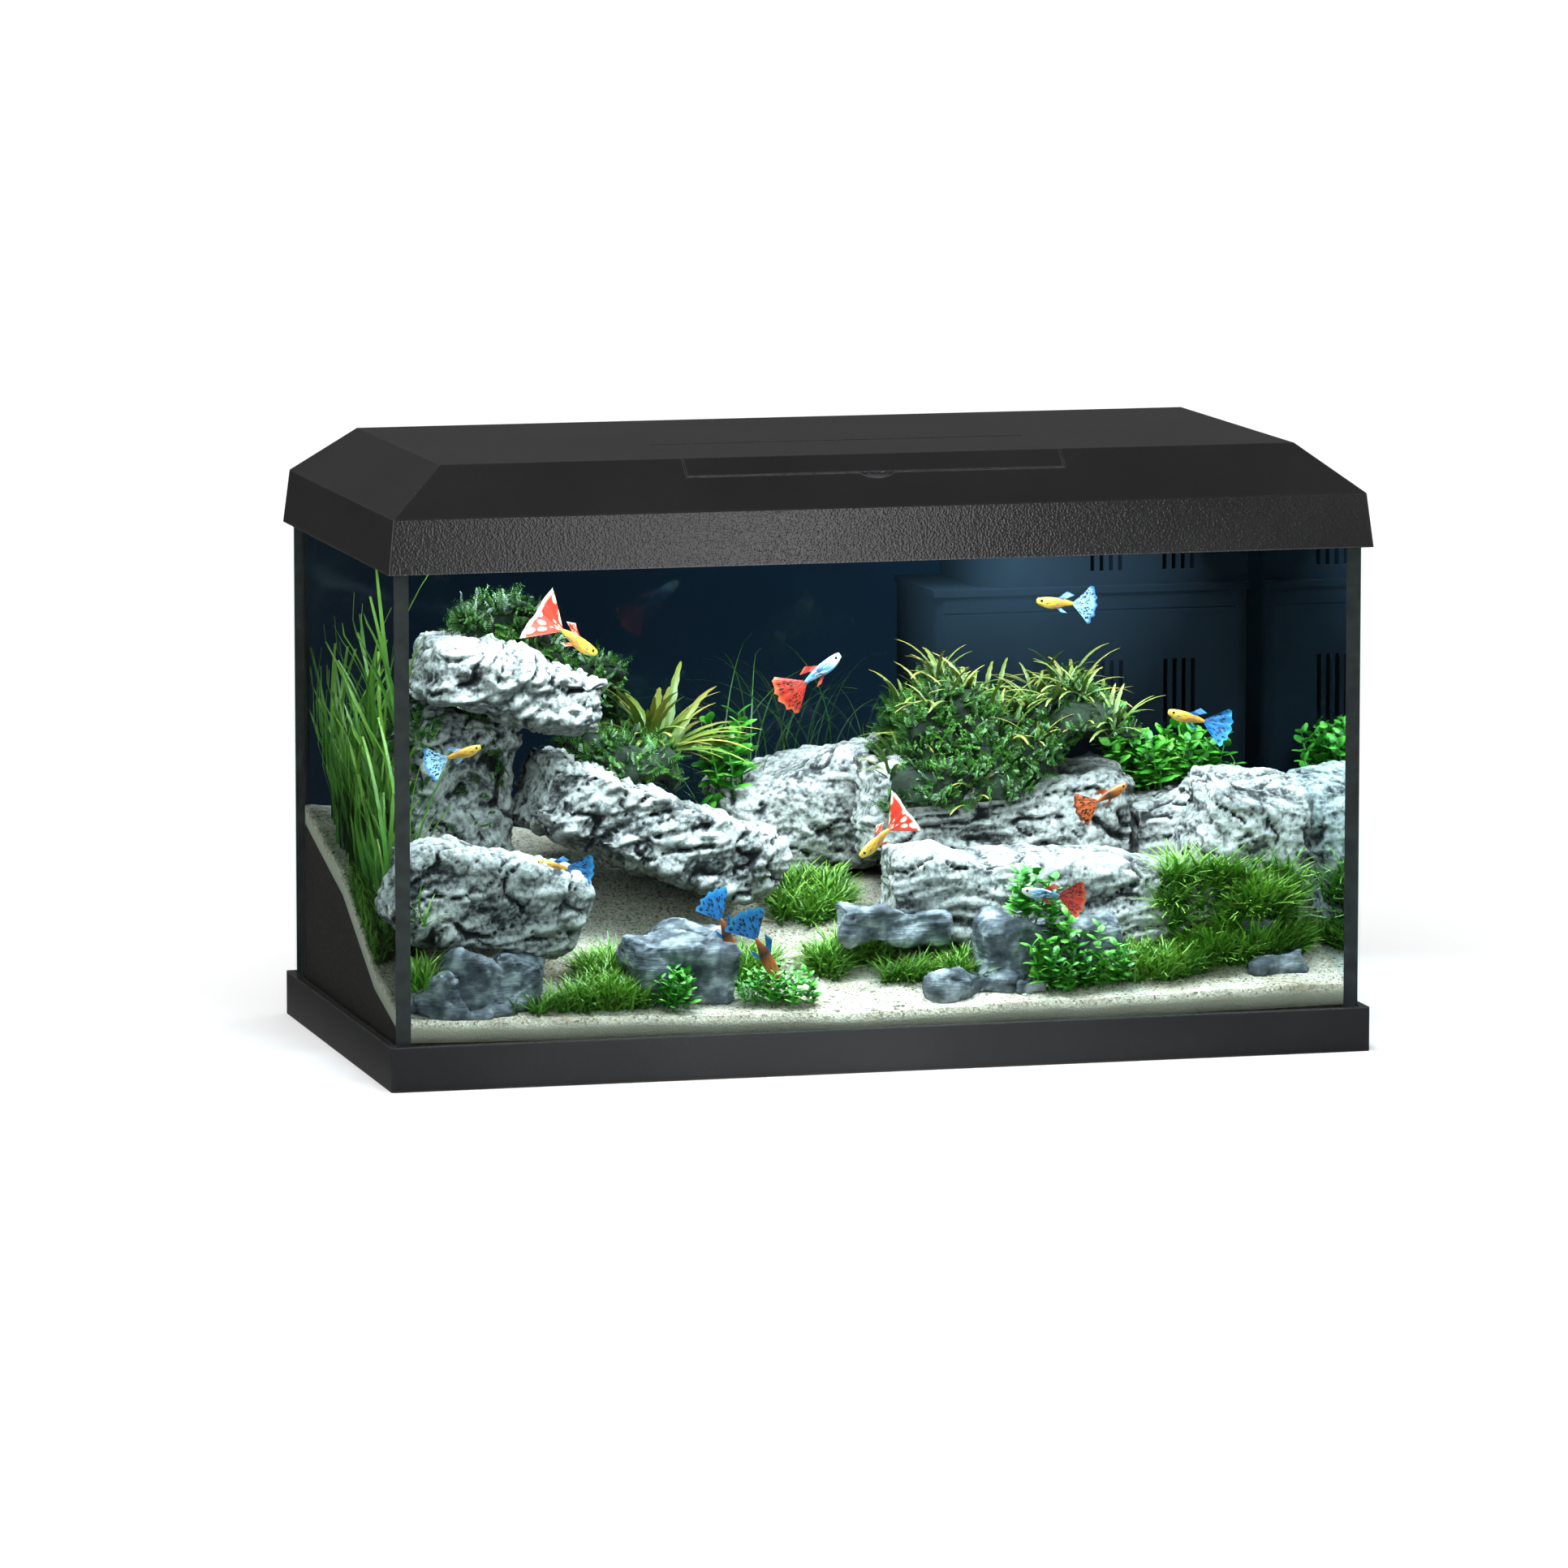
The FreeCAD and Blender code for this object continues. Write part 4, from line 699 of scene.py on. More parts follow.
# %% [markdown]
# ## Slate chips and pebbles
# The small stones are blue-grey slate, hard-edged and finely split. They get a finer remesh, carving at
# a smaller grain, less softening, and a darker bluish finish with pale scratches.

# %% Small stones
material, tree, place = start("blue_grey_slate")
cloud = add(tree, "ShaderNodeTexNoise", {"Vector": place, "Scale": 1 / (12 * MM), "Detail": 7.0})
streak_place = add(tree, "ShaderNodeMapping", {"Vector": place, "Scale": (1, 1, 6)})
streak = add(
    tree, "ShaderNodeTexNoise", {"Vector": streak_place.outputs[0], "Scale": 1 / (6 * MM), "Detail": 5.0}
)
slate = add(
    tree,
    "ShaderNodeValToRGB",
    {"Fac": cloud.outputs["Fac"]},
    stops=((0.32, "#262b30"), (0.5, "#555c62"), (0.68, "#9fa4a6")),
)
scratched = add(
    tree,
    "ShaderNodeMixRGB",
    {"Fac": 0.5, "Color1": slate.outputs["Color"], "Color2": streak.outputs["Fac"]},
    blend_type="OVERLAY",
)
cleft = add(
    tree, "ShaderNodeBump", {"Height": streak.outputs["Fac"], "Strength": 0.8, "Distance": 0.8 * MM}
)
chip = add(
    tree,
    "ShaderNodeBsdfPrincipled",
    {"Base Color": scratched.outputs["Color"], "Roughness": 0.7, "Normal": cleft.outputs["Normal"]},
)
slate_material = close(material, tree, chip)
for name in ("small_stones_left", "small_stones_right"):
    chips = carve(even_mesh(merged(name), 1.1 * MM), 14, 2.5, 1.6, 3.0, 0.5, softness=2, grain=0.5, lumps=15)
    surfaces.append(BVHTree.FromBMesh(chips))
    keep(name + "_slate", finished(chips, name), slate_material, name, slot="grey_stone")

# %% [markdown]
# ## Leaves, and how they are spread
# A planted tank holds thousands of leaves of a few kinds. Each kind is one small mesh: a grid of a few
# faces, narrowed and bent along its length. `scatter` copies it to many places in one mesh. Every copy
# keeps a random tone and every point its distance along the leaf, so one material gives each leaf its
# own green, painted shade at its foot and a paler tip, which is partly the leaf's own colour and partly painted light.

# %% Leaf templates
chance = random.Random(7)


def leaf(length, width, segments, bend, outline, fold=0.25, across=1):
    """A leaf from the origin up +Z that bends towards +Y. The outline gives its width along its length."""
    bm = bmesh.new()
    bmesh.ops.create_grid(bm, x_segments=across, y_segments=segments, size=0.5)
    along = bm.verts.layers.float.new("along")
    for vert in bm.verts:
        t, side = vert.co.y + 0.5, vert.co.x * 2
        half = outline(t) * width / 2
        vert[along] = t
        vert.co = (side * half, bend * t * t * length + fold * abs(side) * half, t * length)
        vert.co.z -= 0.35 * bend * t ** 3 * length
    return finished(bm, "leaf")


def turned(azimuth, tilt, place=(0, 0, 0), scale=1.0):
    """A leaf's place: leaned from upright by tilt, towards an azimuth."""
    spin = Matrix.Rotation(azimuth, 4, "Z") @ Matrix.Rotation(-tilt, 4, "X")
    return Matrix.Translation(place) @ spin @ Matrix.Scale(scale, 4)


def cluster(parts):
    """Joins transformed copies of leaves to one template."""
    bm = bmesh.new()
    bm.verts.layers.float.new("along")
    for mesh, matrix in parts:
        copy = mesh.copy()
        copy.transform(matrix)
        bm.from_mesh(copy)
        bpy.data.meshes.remove(copy)
    return finished(bm, "cluster")


def scatter(template, places, name):
    """One mesh with a copy of the template at each place; leaves that meet the glass press flat to it."""
    count, size = len(places), len(template.vertices)
    points = np.empty(size * 3)
    template.vertices.foreach_get("co", points)
    points = np.c_[points.reshape(-1, 3), np.ones(size)]
    stands = np.array([[tuple(row) for row in place] for place in places]).reshape(-1, 4, 4)
    moved = np.einsum("nij,vj->nvi", stands, points)[:, :, :3].reshape(-1, 3)
    gap = np.repeat([chance.uniform(0.3, 1.8) * MM for _ in range(count)], size)
    for axis in (0, 1):
        moved[:, axis] = np.clip(moved[:, axis], bed_low[axis] + gap, bed_high[axis] - gap)
    faces = [tuple(face.vertices) for face in template.polygons]
    shifted = [tuple(corner + copy * size for corner in face) for copy in range(count) for face in faces]
    mesh = bpy.data.meshes.new(name)
    mesh.from_pydata(moved.tolist(), [], shifted)
    along = np.empty(size)
    template.attributes["along"].data.foreach_get("value", along)
    tones = np.repeat([chance.random() for _ in range(count)], size)
    mesh.attributes.new("along", "FLOAT", "POINT").data.foreach_set("value", np.tile(along, count))
    mesh.attributes.new("tone", "FLOAT", "POINT").data.foreach_set("value", tones)
    return mesh


def joined(meshes, name):
    """Several scattered meshes as one, with their attributes."""
    bm = bmesh.new()
    for layer in ("along", "tone"):
        bm.verts.layers.float.new(layer)
    for mesh in meshes:
        bm.from_mesh(mesh)
    return finished(bm, name)


def plant_finish(name, shade, body, tip, gloss=0.45):
    """Leaf green: painted shade at the foot, body along it and tip at its end, paler partly by its own colour and
    partly as painted light; each leaf a little different.
    """
    material, tree, place = start(name)
    along = add(tree, "ShaderNodeAttribute", attribute_name="along").outputs["Fac"]
    tone = add(tree, "ShaderNodeAttribute", attribute_name="tone").outputs["Fac"]
    patch = add(tree, "ShaderNodeTexNoise", {"Vector": place, "Scale": 1 / (24 * MM), "Detail": 3.0})
    mixed = add(tree, "ShaderNodeMath", {0: along, 1: 0.55, 2: -0.12}, operation="MULTIPLY_ADD")
    own = add(tree, "ShaderNodeMath", {0: tone, 1: 0.4, 2: mixed.outputs[0]}, operation="MULTIPLY_ADD")
    patchy = add(
        tree,
        "ShaderNodeMath",
        {0: patch.outputs["Fac"], 1: 0.35, 2: own.outputs[0]},
        operation="MULTIPLY_ADD",
    )
    # Painted shade and light: darkest at each leaf's foot, palest at its tip.
    green = add(
        tree,
        "ShaderNodeValToRGB",
        {"Fac": patchy.outputs[0]},
        stops=((0.12, shade), (0.5, body), (0.95, tip)),
    )
    cells = add(tree, "ShaderNodeTexNoise", {"Vector": place, "Scale": 1 / (0.8 * MM), "Detail": 2.0})
    relief = add(
        tree, "ShaderNodeBump", {"Height": cells.outputs["Fac"], "Strength": 0.3, "Distance": 0.2 * MM}
    )
    tissue = add(
        tree,
        "ShaderNodeBsdfPrincipled",
        {"Base Color": green.outputs["Color"], "Roughness": gloss, "Normal": relief.outputs["Normal"]},
    )
    return close(material, tree, tissue)


# %% [markdown]
# ## Where plants take root
# Carpets root on the sand, moss on stone. `roots` drops random points inside an oval and keeps the first
# surface they meet. `skin_sites` spreads points evenly over a cushion's surface, each with its normal.

# %% Sites


def first_hit(x, y, top, trees):
    """The highest of the given surfaces under a point: its place and normal."""
    best = None
    for surface in trees:
        spot, normal, _, _ = surface.ray_cast(Vector((x, y, top)), Vector((0, 0, -1)))
        if spot and (best is None or spot.z > best[0].z):
            best = (spot, normal)
    return best


def roots(middle, half, count, on_sand=True, top=0.3, limit=0.3):
    """Random rooting points in an oval; on sand only, unless on_sand is off."""
    found = []
    for _ in range(count * 4):
        if len(found) == count:
            break
        turn, reach = chance.uniform(0, math.tau), math.sqrt(chance.random())
        x = middle[0] + half[0] * reach * math.cos(turn)
        y = middle[1] + half[1] * reach * math.sin(turn)
        if abs(x) > 0.2915 or abs(y) > 0.1415:
            continue
        spot = first_hit(x, y, top, surfaces)
        if not spot or spot[0].z > limit:
            continue
        if on_sand and spot[0].z > sand_tree.ray_cast(Vector((x, y, 1)), Vector((0, 0, -1)))[0].z + 1 * MM:
            continue
        found.append(spot)
    return found


def skin_sites(mesh, count):
    """Points spread over a mesh's faces, with the face normals."""
    mesh.calc_loop_triangles()
    triangles = mesh.loop_triangles
    picked = chance.choices(triangles, weights=[triangle.area for triangle in triangles], k=count)
    found = []
    for triangle in picked:
        a, b, c = (mesh.vertices[corner].co for corner in triangle.vertices)
        u, v = chance.random(), chance.random()
        if u + v > 1:
            u, v = 1 - u, 1 - v
        found.append((a + (b - a) * u + (c - a) * v, triangle.normal.copy()))
    return found


def grow(sites, scale, lean, upward=0.5):
    """Places for a template at each site: part along the normal, part upright, and leaned at random."""
    places = []
    for spot, normal in sites:
        way = (normal * (1 - upward) + Vector((0, 0, upward))).normalized()
        way += Vector([chance.uniform(-lean, lean) for _ in range(3)])
        stand = way.to_track_quat("Z", "Y").to_matrix().to_4x4()
        spin = Matrix.Rotation(chance.uniform(0, math.tau), 4, "Z")
        size = Matrix.Scale(scale * chance.uniform(0.7, 1.25), 4)
        places.append(Matrix.Translation(spot) @ stand @ spin @ size)
    return places


# %% [markdown]
# ## Moss
# Java moss grows as a cushion of fine branching fronds. The design's block is remeshed, rounded and made
# uneven for the shadowed inside of the cushion, which is coloured near black green as painted shade, and
# then its skin is covered with small fronds. A frond is a short stem with pairs of leaflets. Stray patches
# of it grow on the end of the left rock.

# %% Moss
leaflet = leaf(3.0 * MM, 1.5 * MM, 1, 0.2, lambda t: 1 - 0.75 * t, fold=0.4)
frond_parts = []
for step in range(7):
    for hand in (-1, 1):
        turn = hand * 1.5 + chance.uniform(-0.3, 0.3)
        place = (0, 0.25 * step * step * 0.1 * MM, (1.0 + step * 1.35) * MM)
        frond_parts.append((leaflet, turned(turn, 0.95, place, 1.15 - 0.08 * step)))
frond = cluster(frond_parts)
moss_green = plant_finish("java_moss", "#102a08", "#2a5a18", "#69a536")
# Painted shade: the cushion's inside is near black green, a dark mass standing for the shade deep in the moss.
moss_painted_shade = simple("moss_inside_painted_shade", "#071204", "#10260a", 0.9, 4, 2.0)


def crest(t):
    """How high the mound stands along its length: a tall lobe on the left and a lower one on the right."""
    return 0.58 + 0.36 * math.exp(-(((t - 0.33) / 0.2) ** 2)) + 0.2 * math.exp(-(((t - 0.82) / 0.14) ** 2))


def cushion(name):
    """The rounded, uneven inside of a moss cushion."""
    bm = even_mesh(merged(name), 3.2 * MM)
    low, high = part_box(name)
    for vert in bm.verts:
        t = (vert.co.x - low.x) / (high.x - low.x)
        if name == "moss_mound":
            vert.co.z = low.z + (vert.co.z - low.z) * crest(t)
            lifted = min(1, max(0, (t - 0.54) / 0.2)) * 0.5
            vert.co.z += (high.z - vert.co.z) * lifted
        if name == "moss_top":
            vert.co.z = low.z + (vert.co.z - low.z) * 0.88
    for _ in range(9):
        bmesh.ops.smooth_vert(
            bm, verts=bm.verts, factor=0.5, use_axis_x=True, use_axis_y=True, use_axis_z=True
        )
    bm.normal_update()
    for vert in bm.verts:
        bulge = noise.noise(vert.co / (30 * MM)) * 13 + noise.noise(vert.co / (11 * MM)) * 6 - 5
        vert.co += vert.normal * bulge * MM
    return finished(bm, name)


cores = {}
for name, count in {"moss_top": 1200, "moss_slab": 1900, "moss_mound": 4200}.items():
    core = cores[name] = cushion(name)
    sites = [site for site in skin_sites(core, count) if site[1].z > -0.45]
    short, long = grow(sites[::2], 0.7, 0.9, 0.2), grow(sites[1::2], 0.95, 0.7, 0.35)
    fronds = scatter(frond, short + long, name + "_fronds")
    keep(name + "_core", core, moss_painted_shade, name, slot="green_plant")
    keep(name + "_fronds", fronds, moss_green, slot="green_plant", smooth=False)
shaded_side = bpy.data.objects["rock_left_back_stone"].data
sites = [site for site in skin_sites(shaded_side, 5200) if site[1].x < -0.25 and site[0].z > 0.135]
strays = scatter(frond, grow([site for site in sites if noise.noise(site[0] / (26 * MM)) > 0.02], 0.85, 0.8, 0.3), "strays")
keep("moss_left_fronds", strays, moss_green, slot="green_plant", smooth=False)

# %% [markdown]
# ## Narrow-leaved ferns
# Narrow crypt and fern leaves with wavy edges stand in rosettes. Older leaves turn olive brown. The same
# leaf crowns the moss mound.

# %% Ferns


def serrated(t):
    """Narrow at the foot, widest at a third, and drawn out to a point, with a notched edge."""
    return (0.25 + 1.1 * math.sin(math.pi * min(1, t * 0.92 + 0.08)) ** 0.8) * (0.85 + 0.3 * (round(t * 12) % 2))


narrow_leaf = leaf(66 * MM, 3.9 * MM, 12, 0.45, serrated, fold=0.35, across=2)
fern_green = plant_finish("narrow_fern", "#25380f", "#5c7426", "#8f7f3a")


def rosette(middle, count, reach, tilt_low, tilt_high, size):
    """Leaves that radiate from a root."""
    places = []
    for number in range(count):
        azimuth = number * 2.399 + chance.uniform(-0.3, 0.3)
        tilt = chance.uniform(tilt_low, tilt_high)
        spot = Vector(middle) + Vector((math.cos(azimuth), math.sin(azimuth), 0)) * chance.random() * reach
        places.append(turned(azimuth, tilt, spot, size * chance.uniform(0.65, 1.15)))
    return places


def block_middle(name):
    """The middle of a design block, and half its size."""
    a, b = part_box(name)
    return (a + b) / 2, (b - a) / 2


fern_middle, fern_half = block_middle("fern_left")
fern_foot = (fern_middle.x, fern_middle.y, fern_middle.z - fern_half.z * 0.1)
fern_places = rosette(fern_foot, 76, 12 * MM, 0.1, 1.1, 1.0)
keep("fern_left_leaves", scatter(narrow_leaf, fern_places, "fern"), fern_green, "fern_left",
     slot="green_plant", smooth=False)
tops = [site for site in skin_sites(cores["moss_mound"], 900) if site[1].z > 0.45]
crown_places = []
for spot, normal in tops[::7]:
    crown_places += rosette(spot - normal * 4 * MM, 7, 3 * MM, 0.15, 1.2, 0.55)
keep("moss_mound_crown", scatter(narrow_leaf, crown_places, "crown"), fern_green, slot="green_plant",
     smooth=False)

# %% [markdown]
# ## Hairgrass and carpets
# Hairgrass behind is long, thin and arching. The carpets in front are the dwarf kind: tufts of short
# blades that thin out towards the open sand. Ribbon leaves fill the corner behind the left rock.

# %% Grass
tall_blade = leaf(96 * MM, 1.3 * MM, 8, 0.5, lambda t: 1 - 0.8 * t, fold=0.1)
hair_middle, hair_half = block_middle("hairgrass")
hair_places = []
for spot, normal in roots(hair_middle, (0.064, 0.03), 260, on_sand=False, top=0.2):
    azimuth, tilt = chance.uniform(0, math.tau), chance.uniform(0.0, 0.7)
    hair_places.append(turned(azimuth, tilt, spot, chance.uniform(0.5, 1.1)))
hair_green = plant_finish("tall_hairgrass", "#0f2a0c", "#2c5a18", "#5c8a2c")
keep("hairgrass_blades", scatter(tall_blade, hair_places, "hairgrass"), hair_green, "hairgrass",
     slot="green_plant", smooth=False)

short_blade = leaf(15 * MM, 1.25 * MM, 3, 0.35, lambda t: 1 - 0.85 * t, fold=0.1)
tuft_parts = []
for number in range(9):
    spot = (chance.uniform(-2, 2) * MM, chance.uniform(-2, 2) * MM, -1.0 * MM)
    tuft_parts.append((short_blade, turned(number * 2.4, chance.uniform(0.1, 0.85), spot, chance.uniform(0.6, 1.2))))
tuft = cluster(tuft_parts)
carpet_green = plant_finish("dwarf_hairgrass", "#244a12", "#4c8622", "#93be4a")
ribbon = leaf(105 * MM, 3.4 * MM, 8, 0.3, lambda t: 1 - 0.6 * t, fold=0.2)
corner = roots((-0.276, 0.03), (0.013, 0.1), 230, on_sand=False, top=0.2)
keep("corner_ribbons", scatter(ribbon, grow(corner, 0.95, 0.12, 0.9), "ribbons"), carpet_green, slot="green_plant",
     smooth=False)
CARPETS = {
    # middle x and y, half width and depth, tufts, size
    "grass_left": ((-0.245, -0.106, 0.045, 0.026, 260, 1.25), (-0.155, -0.104, 0.052, 0.028, 420, 1.35),
                   (-0.20, -0.085, 0.09, 0.05, 280, 1.25), (-0.262, -0.104, 0.03, 0.034, 170, 1.5),
                   (-0.281, -0.05, 0.011, 0.09, 260, 1.6), (-0.095, -0.078, 0.035, 0.024, 150, 1.3)),
    "grass_right": ((0.03, -0.076, 0.055, 0.026, 420, 1.35), (0.105, -0.108, 0.06, 0.016, 180, 1.2),
                    (-0.014, 0.004, 0.03, 0.026, 240, 1.4), (0.24, -0.060, 0.052, 0.046, 760, 1.65),
                    (0.172, -0.1, 0.045, 0.022, 300, 1.35), (-0.06, -0.05, 0.02, 0.02, 90, 1.2)),
}
for name, ovals in CARPETS.items():
    parts = []
    for x, y, wide, deep, count, size in ovals:
        sites = roots((x, y), (wide, deep), count, on_sand=size < 1.6, limit=0.1)
        parts.append(scatter(tuft, grow(sites, size, 0.3, 0.8), name))
    keep(name + "_tufts", joined(parts, name), carpet_green, name, slot="green_plant", smooth=False)

# %% [markdown]
# ## Broad-leaved stems
# Fresh green stems with pairs of oval leaves fill the gaps behind the rocks and stand in front of them.

# %% Broadleaf
oval = leaf(11 * MM, 6.5 * MM, 4, 0.35, lambda t: math.sin(math.pi * (0.08 + 0.88 * t)) ** 0.7, fold=0.3, across=2)
stalk = leaf(30 * MM, 1.2 * MM, 2, 0.05, lambda t: 1, fold=0.0)
stem_parts = [(stalk, Matrix.Identity(4))]
for pair in range(5):
    for hand in (0, math.pi):
        height = (6 + 5.6 * pair) * MM
        stem_parts.append((oval, turned(pair * 1.35 + hand, 0.95 - 0.08 * pair, (0, 0, height), 1.05 - 0.08 * pair)))
leafy_stem = cluster(stem_parts)
leaf_green = plant_finish("broadleaf_stems", "#1f5a12", "#3f9a28", "#86cf52", gloss=0.35)
BROAD = {
    # middle x and y, half width and depth, stems, size, rooted on sand only
    "broadleaf_back": ((-0.052, 0.05, 0.02, 0.016, 26, 1.25, False), (0.242, 0.03, 0.05, 0.012, 130, 1.0, False)),
    "broadleaf_front": ((0.128, -0.124, 0.032, 0.010, 34, 0.85, False), (-0.064, -0.124, 0.028, 0.012, 30, 0.62, True),
                        (-0.128, -0.13, 0.014, 0.008, 12, 0.7, True), (0.105, -0.112, 0.02, 0.01, 16, 0.85, False)),
}
for name, ovals in BROAD.items():
    parts = []
    for x, y, wide, deep, count, size, sandy in ovals:
        sites = roots((x, y), (wide, deep), count, on_sand=sandy, top=0.2)
        parts.append(scatter(leafy_stem, grow(sites, size, 0.35, 0.9), name))
    keep(name + "_stems", joined(parts, name), leaf_green, name, slot="green_plant", smooth=False)

# %% [markdown]
# ## Pebbles and grit
# Chips of the same stone lie loose on the sand, many small and a few larger.

# %% Pebbles
chip_shape = bmesh.new()
bmesh.ops.create_icosphere(chip_shape, subdivisions=1, radius=1 * MM)
chip_shape.verts.layers.float.new("along")
for vert in chip_shape.verts:
    vert.co = Vector((vert.co.x * 1.3, vert.co.y, vert.co.z * 0.6)) * chance.uniform(0.75, 1.2)
pebble = finished(chip_shape, "pebble")
loose = []
for spot, normal in roots((-0.01, -0.06), (0.27, 0.082), 900):
    size = chance.uniform(0.35, 1.0) if chance.random() < 0.93 else chance.uniform(1.2, 2.8)
    loose.append(turned(chance.uniform(0, math.tau), chance.uniform(-0.3, 0.3), spot, size))
keep("loose_pebbles", scatter(pebble, loose, "pebbles"), simple("mixed_grit", "#6d6558", "#cfc6b6", 0.8, 9, 0.3))

# %% [markdown]
# ## Guppies
# A fancy guppy is a slim body of about 24 mm with a tail fan nearly as long. The body is a sphere of a
# few rings drawn out to a fish's outline; the fins are thin grids with wavy edges. Each fish keeps its own
# coordinates in an attribute: x along it from the nose, y across the fin or up the body. The finish reads
# those, so the colours turn with the fish.

# %% Guppy shape
BODY, FAN = 25 * MM, 17 * MM


def body_height(t):
    """Half the body's height along it, from the nose at 0 to the tail root at 1."""
    return (0.35 + 4.3 * math.sin(math.pi * min(1, t * 0.93 + 0.04)) ** 0.75 * (1 - 0.55 * t)) * MM


def fin(bm, layer, columns, rows, shape, slot):
    """Adds a thin grid; shape turns its two 0 to 1 coordinates into a place."""
    made = bmesh.ops.create_grid(bm, x_segments=columns, y_segments=rows, size=0.5)["verts"]
    for vert in made:
        u, v = vert.co.x + 0.5, vert.co.y + 0.5
        vert.co = shape(u, v)
        vert[layer] = (u, v, 0)
    for face in {face for vert in made for face in vert.link_faces}:
        face.material_index = slot


def guppy(forked, wave):
    """A guppy with its nose at the origin, facing +X; slots: body, fins, eyes."""
    bm = bmesh.new()
    layer = bm.verts.layers.float_vector.new("own")
    made = bmesh.ops.create_uvsphere(bm, u_segments=16, v_segments=18, radius=1)["verts"]
    for vert in made:
        t = (1 - vert.co.z) / 2
        around = math.atan2(vert.co.y, vert.co.x)
        tall = body_height(t) * (1 if t < 0.98 else 0.6)
        belly = -0.7 * MM * math.sin(math.pi * min(1, t * 1.4))
        vert[layer] = (t, math.sin(around), 0)
        vert.co = (-t * BODY, math.cos(around) * tall * 0.58, math.sin(around) * tall + belly)

    def tail(u, v):
        angle = (v - 0.5) * 1.5
        reach = FAN * u * (1 + (0.35 * abs(2 * v - 1) ** 1.5 if forked else 0.06 * math.sin(v * 30)))
        sway = wave * u * u * 5 * MM + 0.5 * MM * u * math.sin(v * 26)
        return (-BODY * 0.97 - reach * math.cos(angle), sway, reach * math.sin(angle) + 0.9 * MM * (2 * v - 1))

    def dorsal(u, v):
        return (-BODY * (0.52 + 0.20 * v) - 7 * MM * u, 0.6 * MM * math.sin(u * 5), (2.3 + 5.0 * u * (1 - 0.4 * v)) * MM)

    def anal(u, v):
        return (-BODY * (0.50 + 0.14 * v) - 5 * MM * u, 0, (-3.0 - 3.2 * u) * MM)

    fin(bm, layer, 8, 12, tail, 1)
    fin(bm, layer, 4, 3, dorsal, 1)
    fin(bm, layer, 3, 2, anal, 1)
    for hand in (-1, 1):
        eye = bmesh.ops.create_uvsphere(
            bm,
            u_segments=8,
            v_segments=6,
            radius=0.95 * MM,
            matrix=Matrix.Translation((-BODY * 0.13, hand * 1.15 * MM, 0.35 * MM)),
        )["verts"]
        for face in {face for vert in eye for face in vert.link_faces}:
            face.material_index = 2
    return finished(bm, "guppy")


# %% Guppy finishes


def own_coordinates(tree):
    return add(tree, "ShaderNodeAttribute", attribute_name="own").outputs["Vector"]


def fish_skin(name, head, flank, rear, blotch):
    """Scales: a head colour that runs through the flank to the rear, with dark and metallic blotches."""
    material, tree, _ = start(name)
    own = own_coordinates(tree)
    split = add(tree, "ShaderNodeSeparateXYZ", {"Vector": own})
    run = add(
        tree,
        "ShaderNodeValToRGB",
        {"Fac": split.outputs["X"]},
        stops=((0.08, head), (0.36, flank), (0.62, rear), (0.95, flank)),
    )
    marks = add(tree, "ShaderNodeTexNoise", {"Vector": own, "Scale": 5.0, "Detail": 2.0})
    masked = add(
        tree, "ShaderNodeMapRange", {"Value": marks.outputs["Fac"], "From Min": 0.56, "From Max": 0.62}
    )
    spotted = add(
        tree,
        "ShaderNodeMixRGB",
        {"Fac": masked.outputs[0], "Color1": run.outputs["Color"], "Color2": blotch},
    )
    scales = add(tree, "ShaderNodeTexVoronoi", {"Vector": own, "Scale": 26.0})
    relief = add(
        tree,
        "ShaderNodeBump",
        {"Height": scales.outputs["Distance"], "Strength": 0.25, "Distance": 0.2 * MM},
    )
    wet = add(
        tree,
        "ShaderNodeBsdfPrincipled",
        {
            "Base Color": spotted.outputs["Color"],
            "Roughness": 0.3,
            "Metallic": 0.15,
            "Normal": relief.outputs["Normal"],
        },
    )
    return close(material, tree, wet)


def fin_skin(name, ground_colour, mark_colour, edge_colour, density):
    """Fin web: rays that fan out, net-like marks between them and a coloured margin."""
    material, tree, _ = start(name)
    own = own_coordinates(tree)
    stretched = add(tree, "ShaderNodeMapping", {"Vector": own, "Scale": (1.0, 1.8, 1.0)})
    net = add(
        tree, "ShaderNodeTexVoronoi", {"Vector": stretched.outputs[0], "Scale": density}, feature="F1"
    )
    marks = add(
        tree, "ShaderNodeMapRange", {"Value": net.outputs["Distance"], "From Min": 0.36, "From Max": 0.48}
    )
    web = add(
        tree,
        "ShaderNodeMixRGB",
        {"Fac": marks.outputs[0], "Color1": mark_colour, "Color2": ground_colour},
    )
    split = add(tree, "ShaderNodeSeparateXYZ", {"Vector": own})
    margin = add(
        tree, "ShaderNodeMapRange", {"Value": split.outputs["X"], "From Min": 0.86, "From Max": 0.96}
    )
    edged = add(
        tree,
        "ShaderNodeMixRGB",
        {"Fac": margin.outputs[0], "Color1": web.outputs["Color"], "Color2": edge_colour},
    )
    rays = add(tree, "ShaderNodeTexWave", {"Vector": own, "Scale": 9.0}, bands_direction="Y")
    ribbed = add(
        tree, "ShaderNodeBump", {"Height": rays.outputs["Fac"], "Strength": 0.4, "Distance": 0.3 * MM}
    )
    thin = add(
        tree,
        "ShaderNodeBsdfPrincipled",
        {"Base Color": edged.outputs["Color"], "Roughness": 0.4, "Normal": ribbed.outputs["Normal"]},
    )
    return close(material, tree, thin)


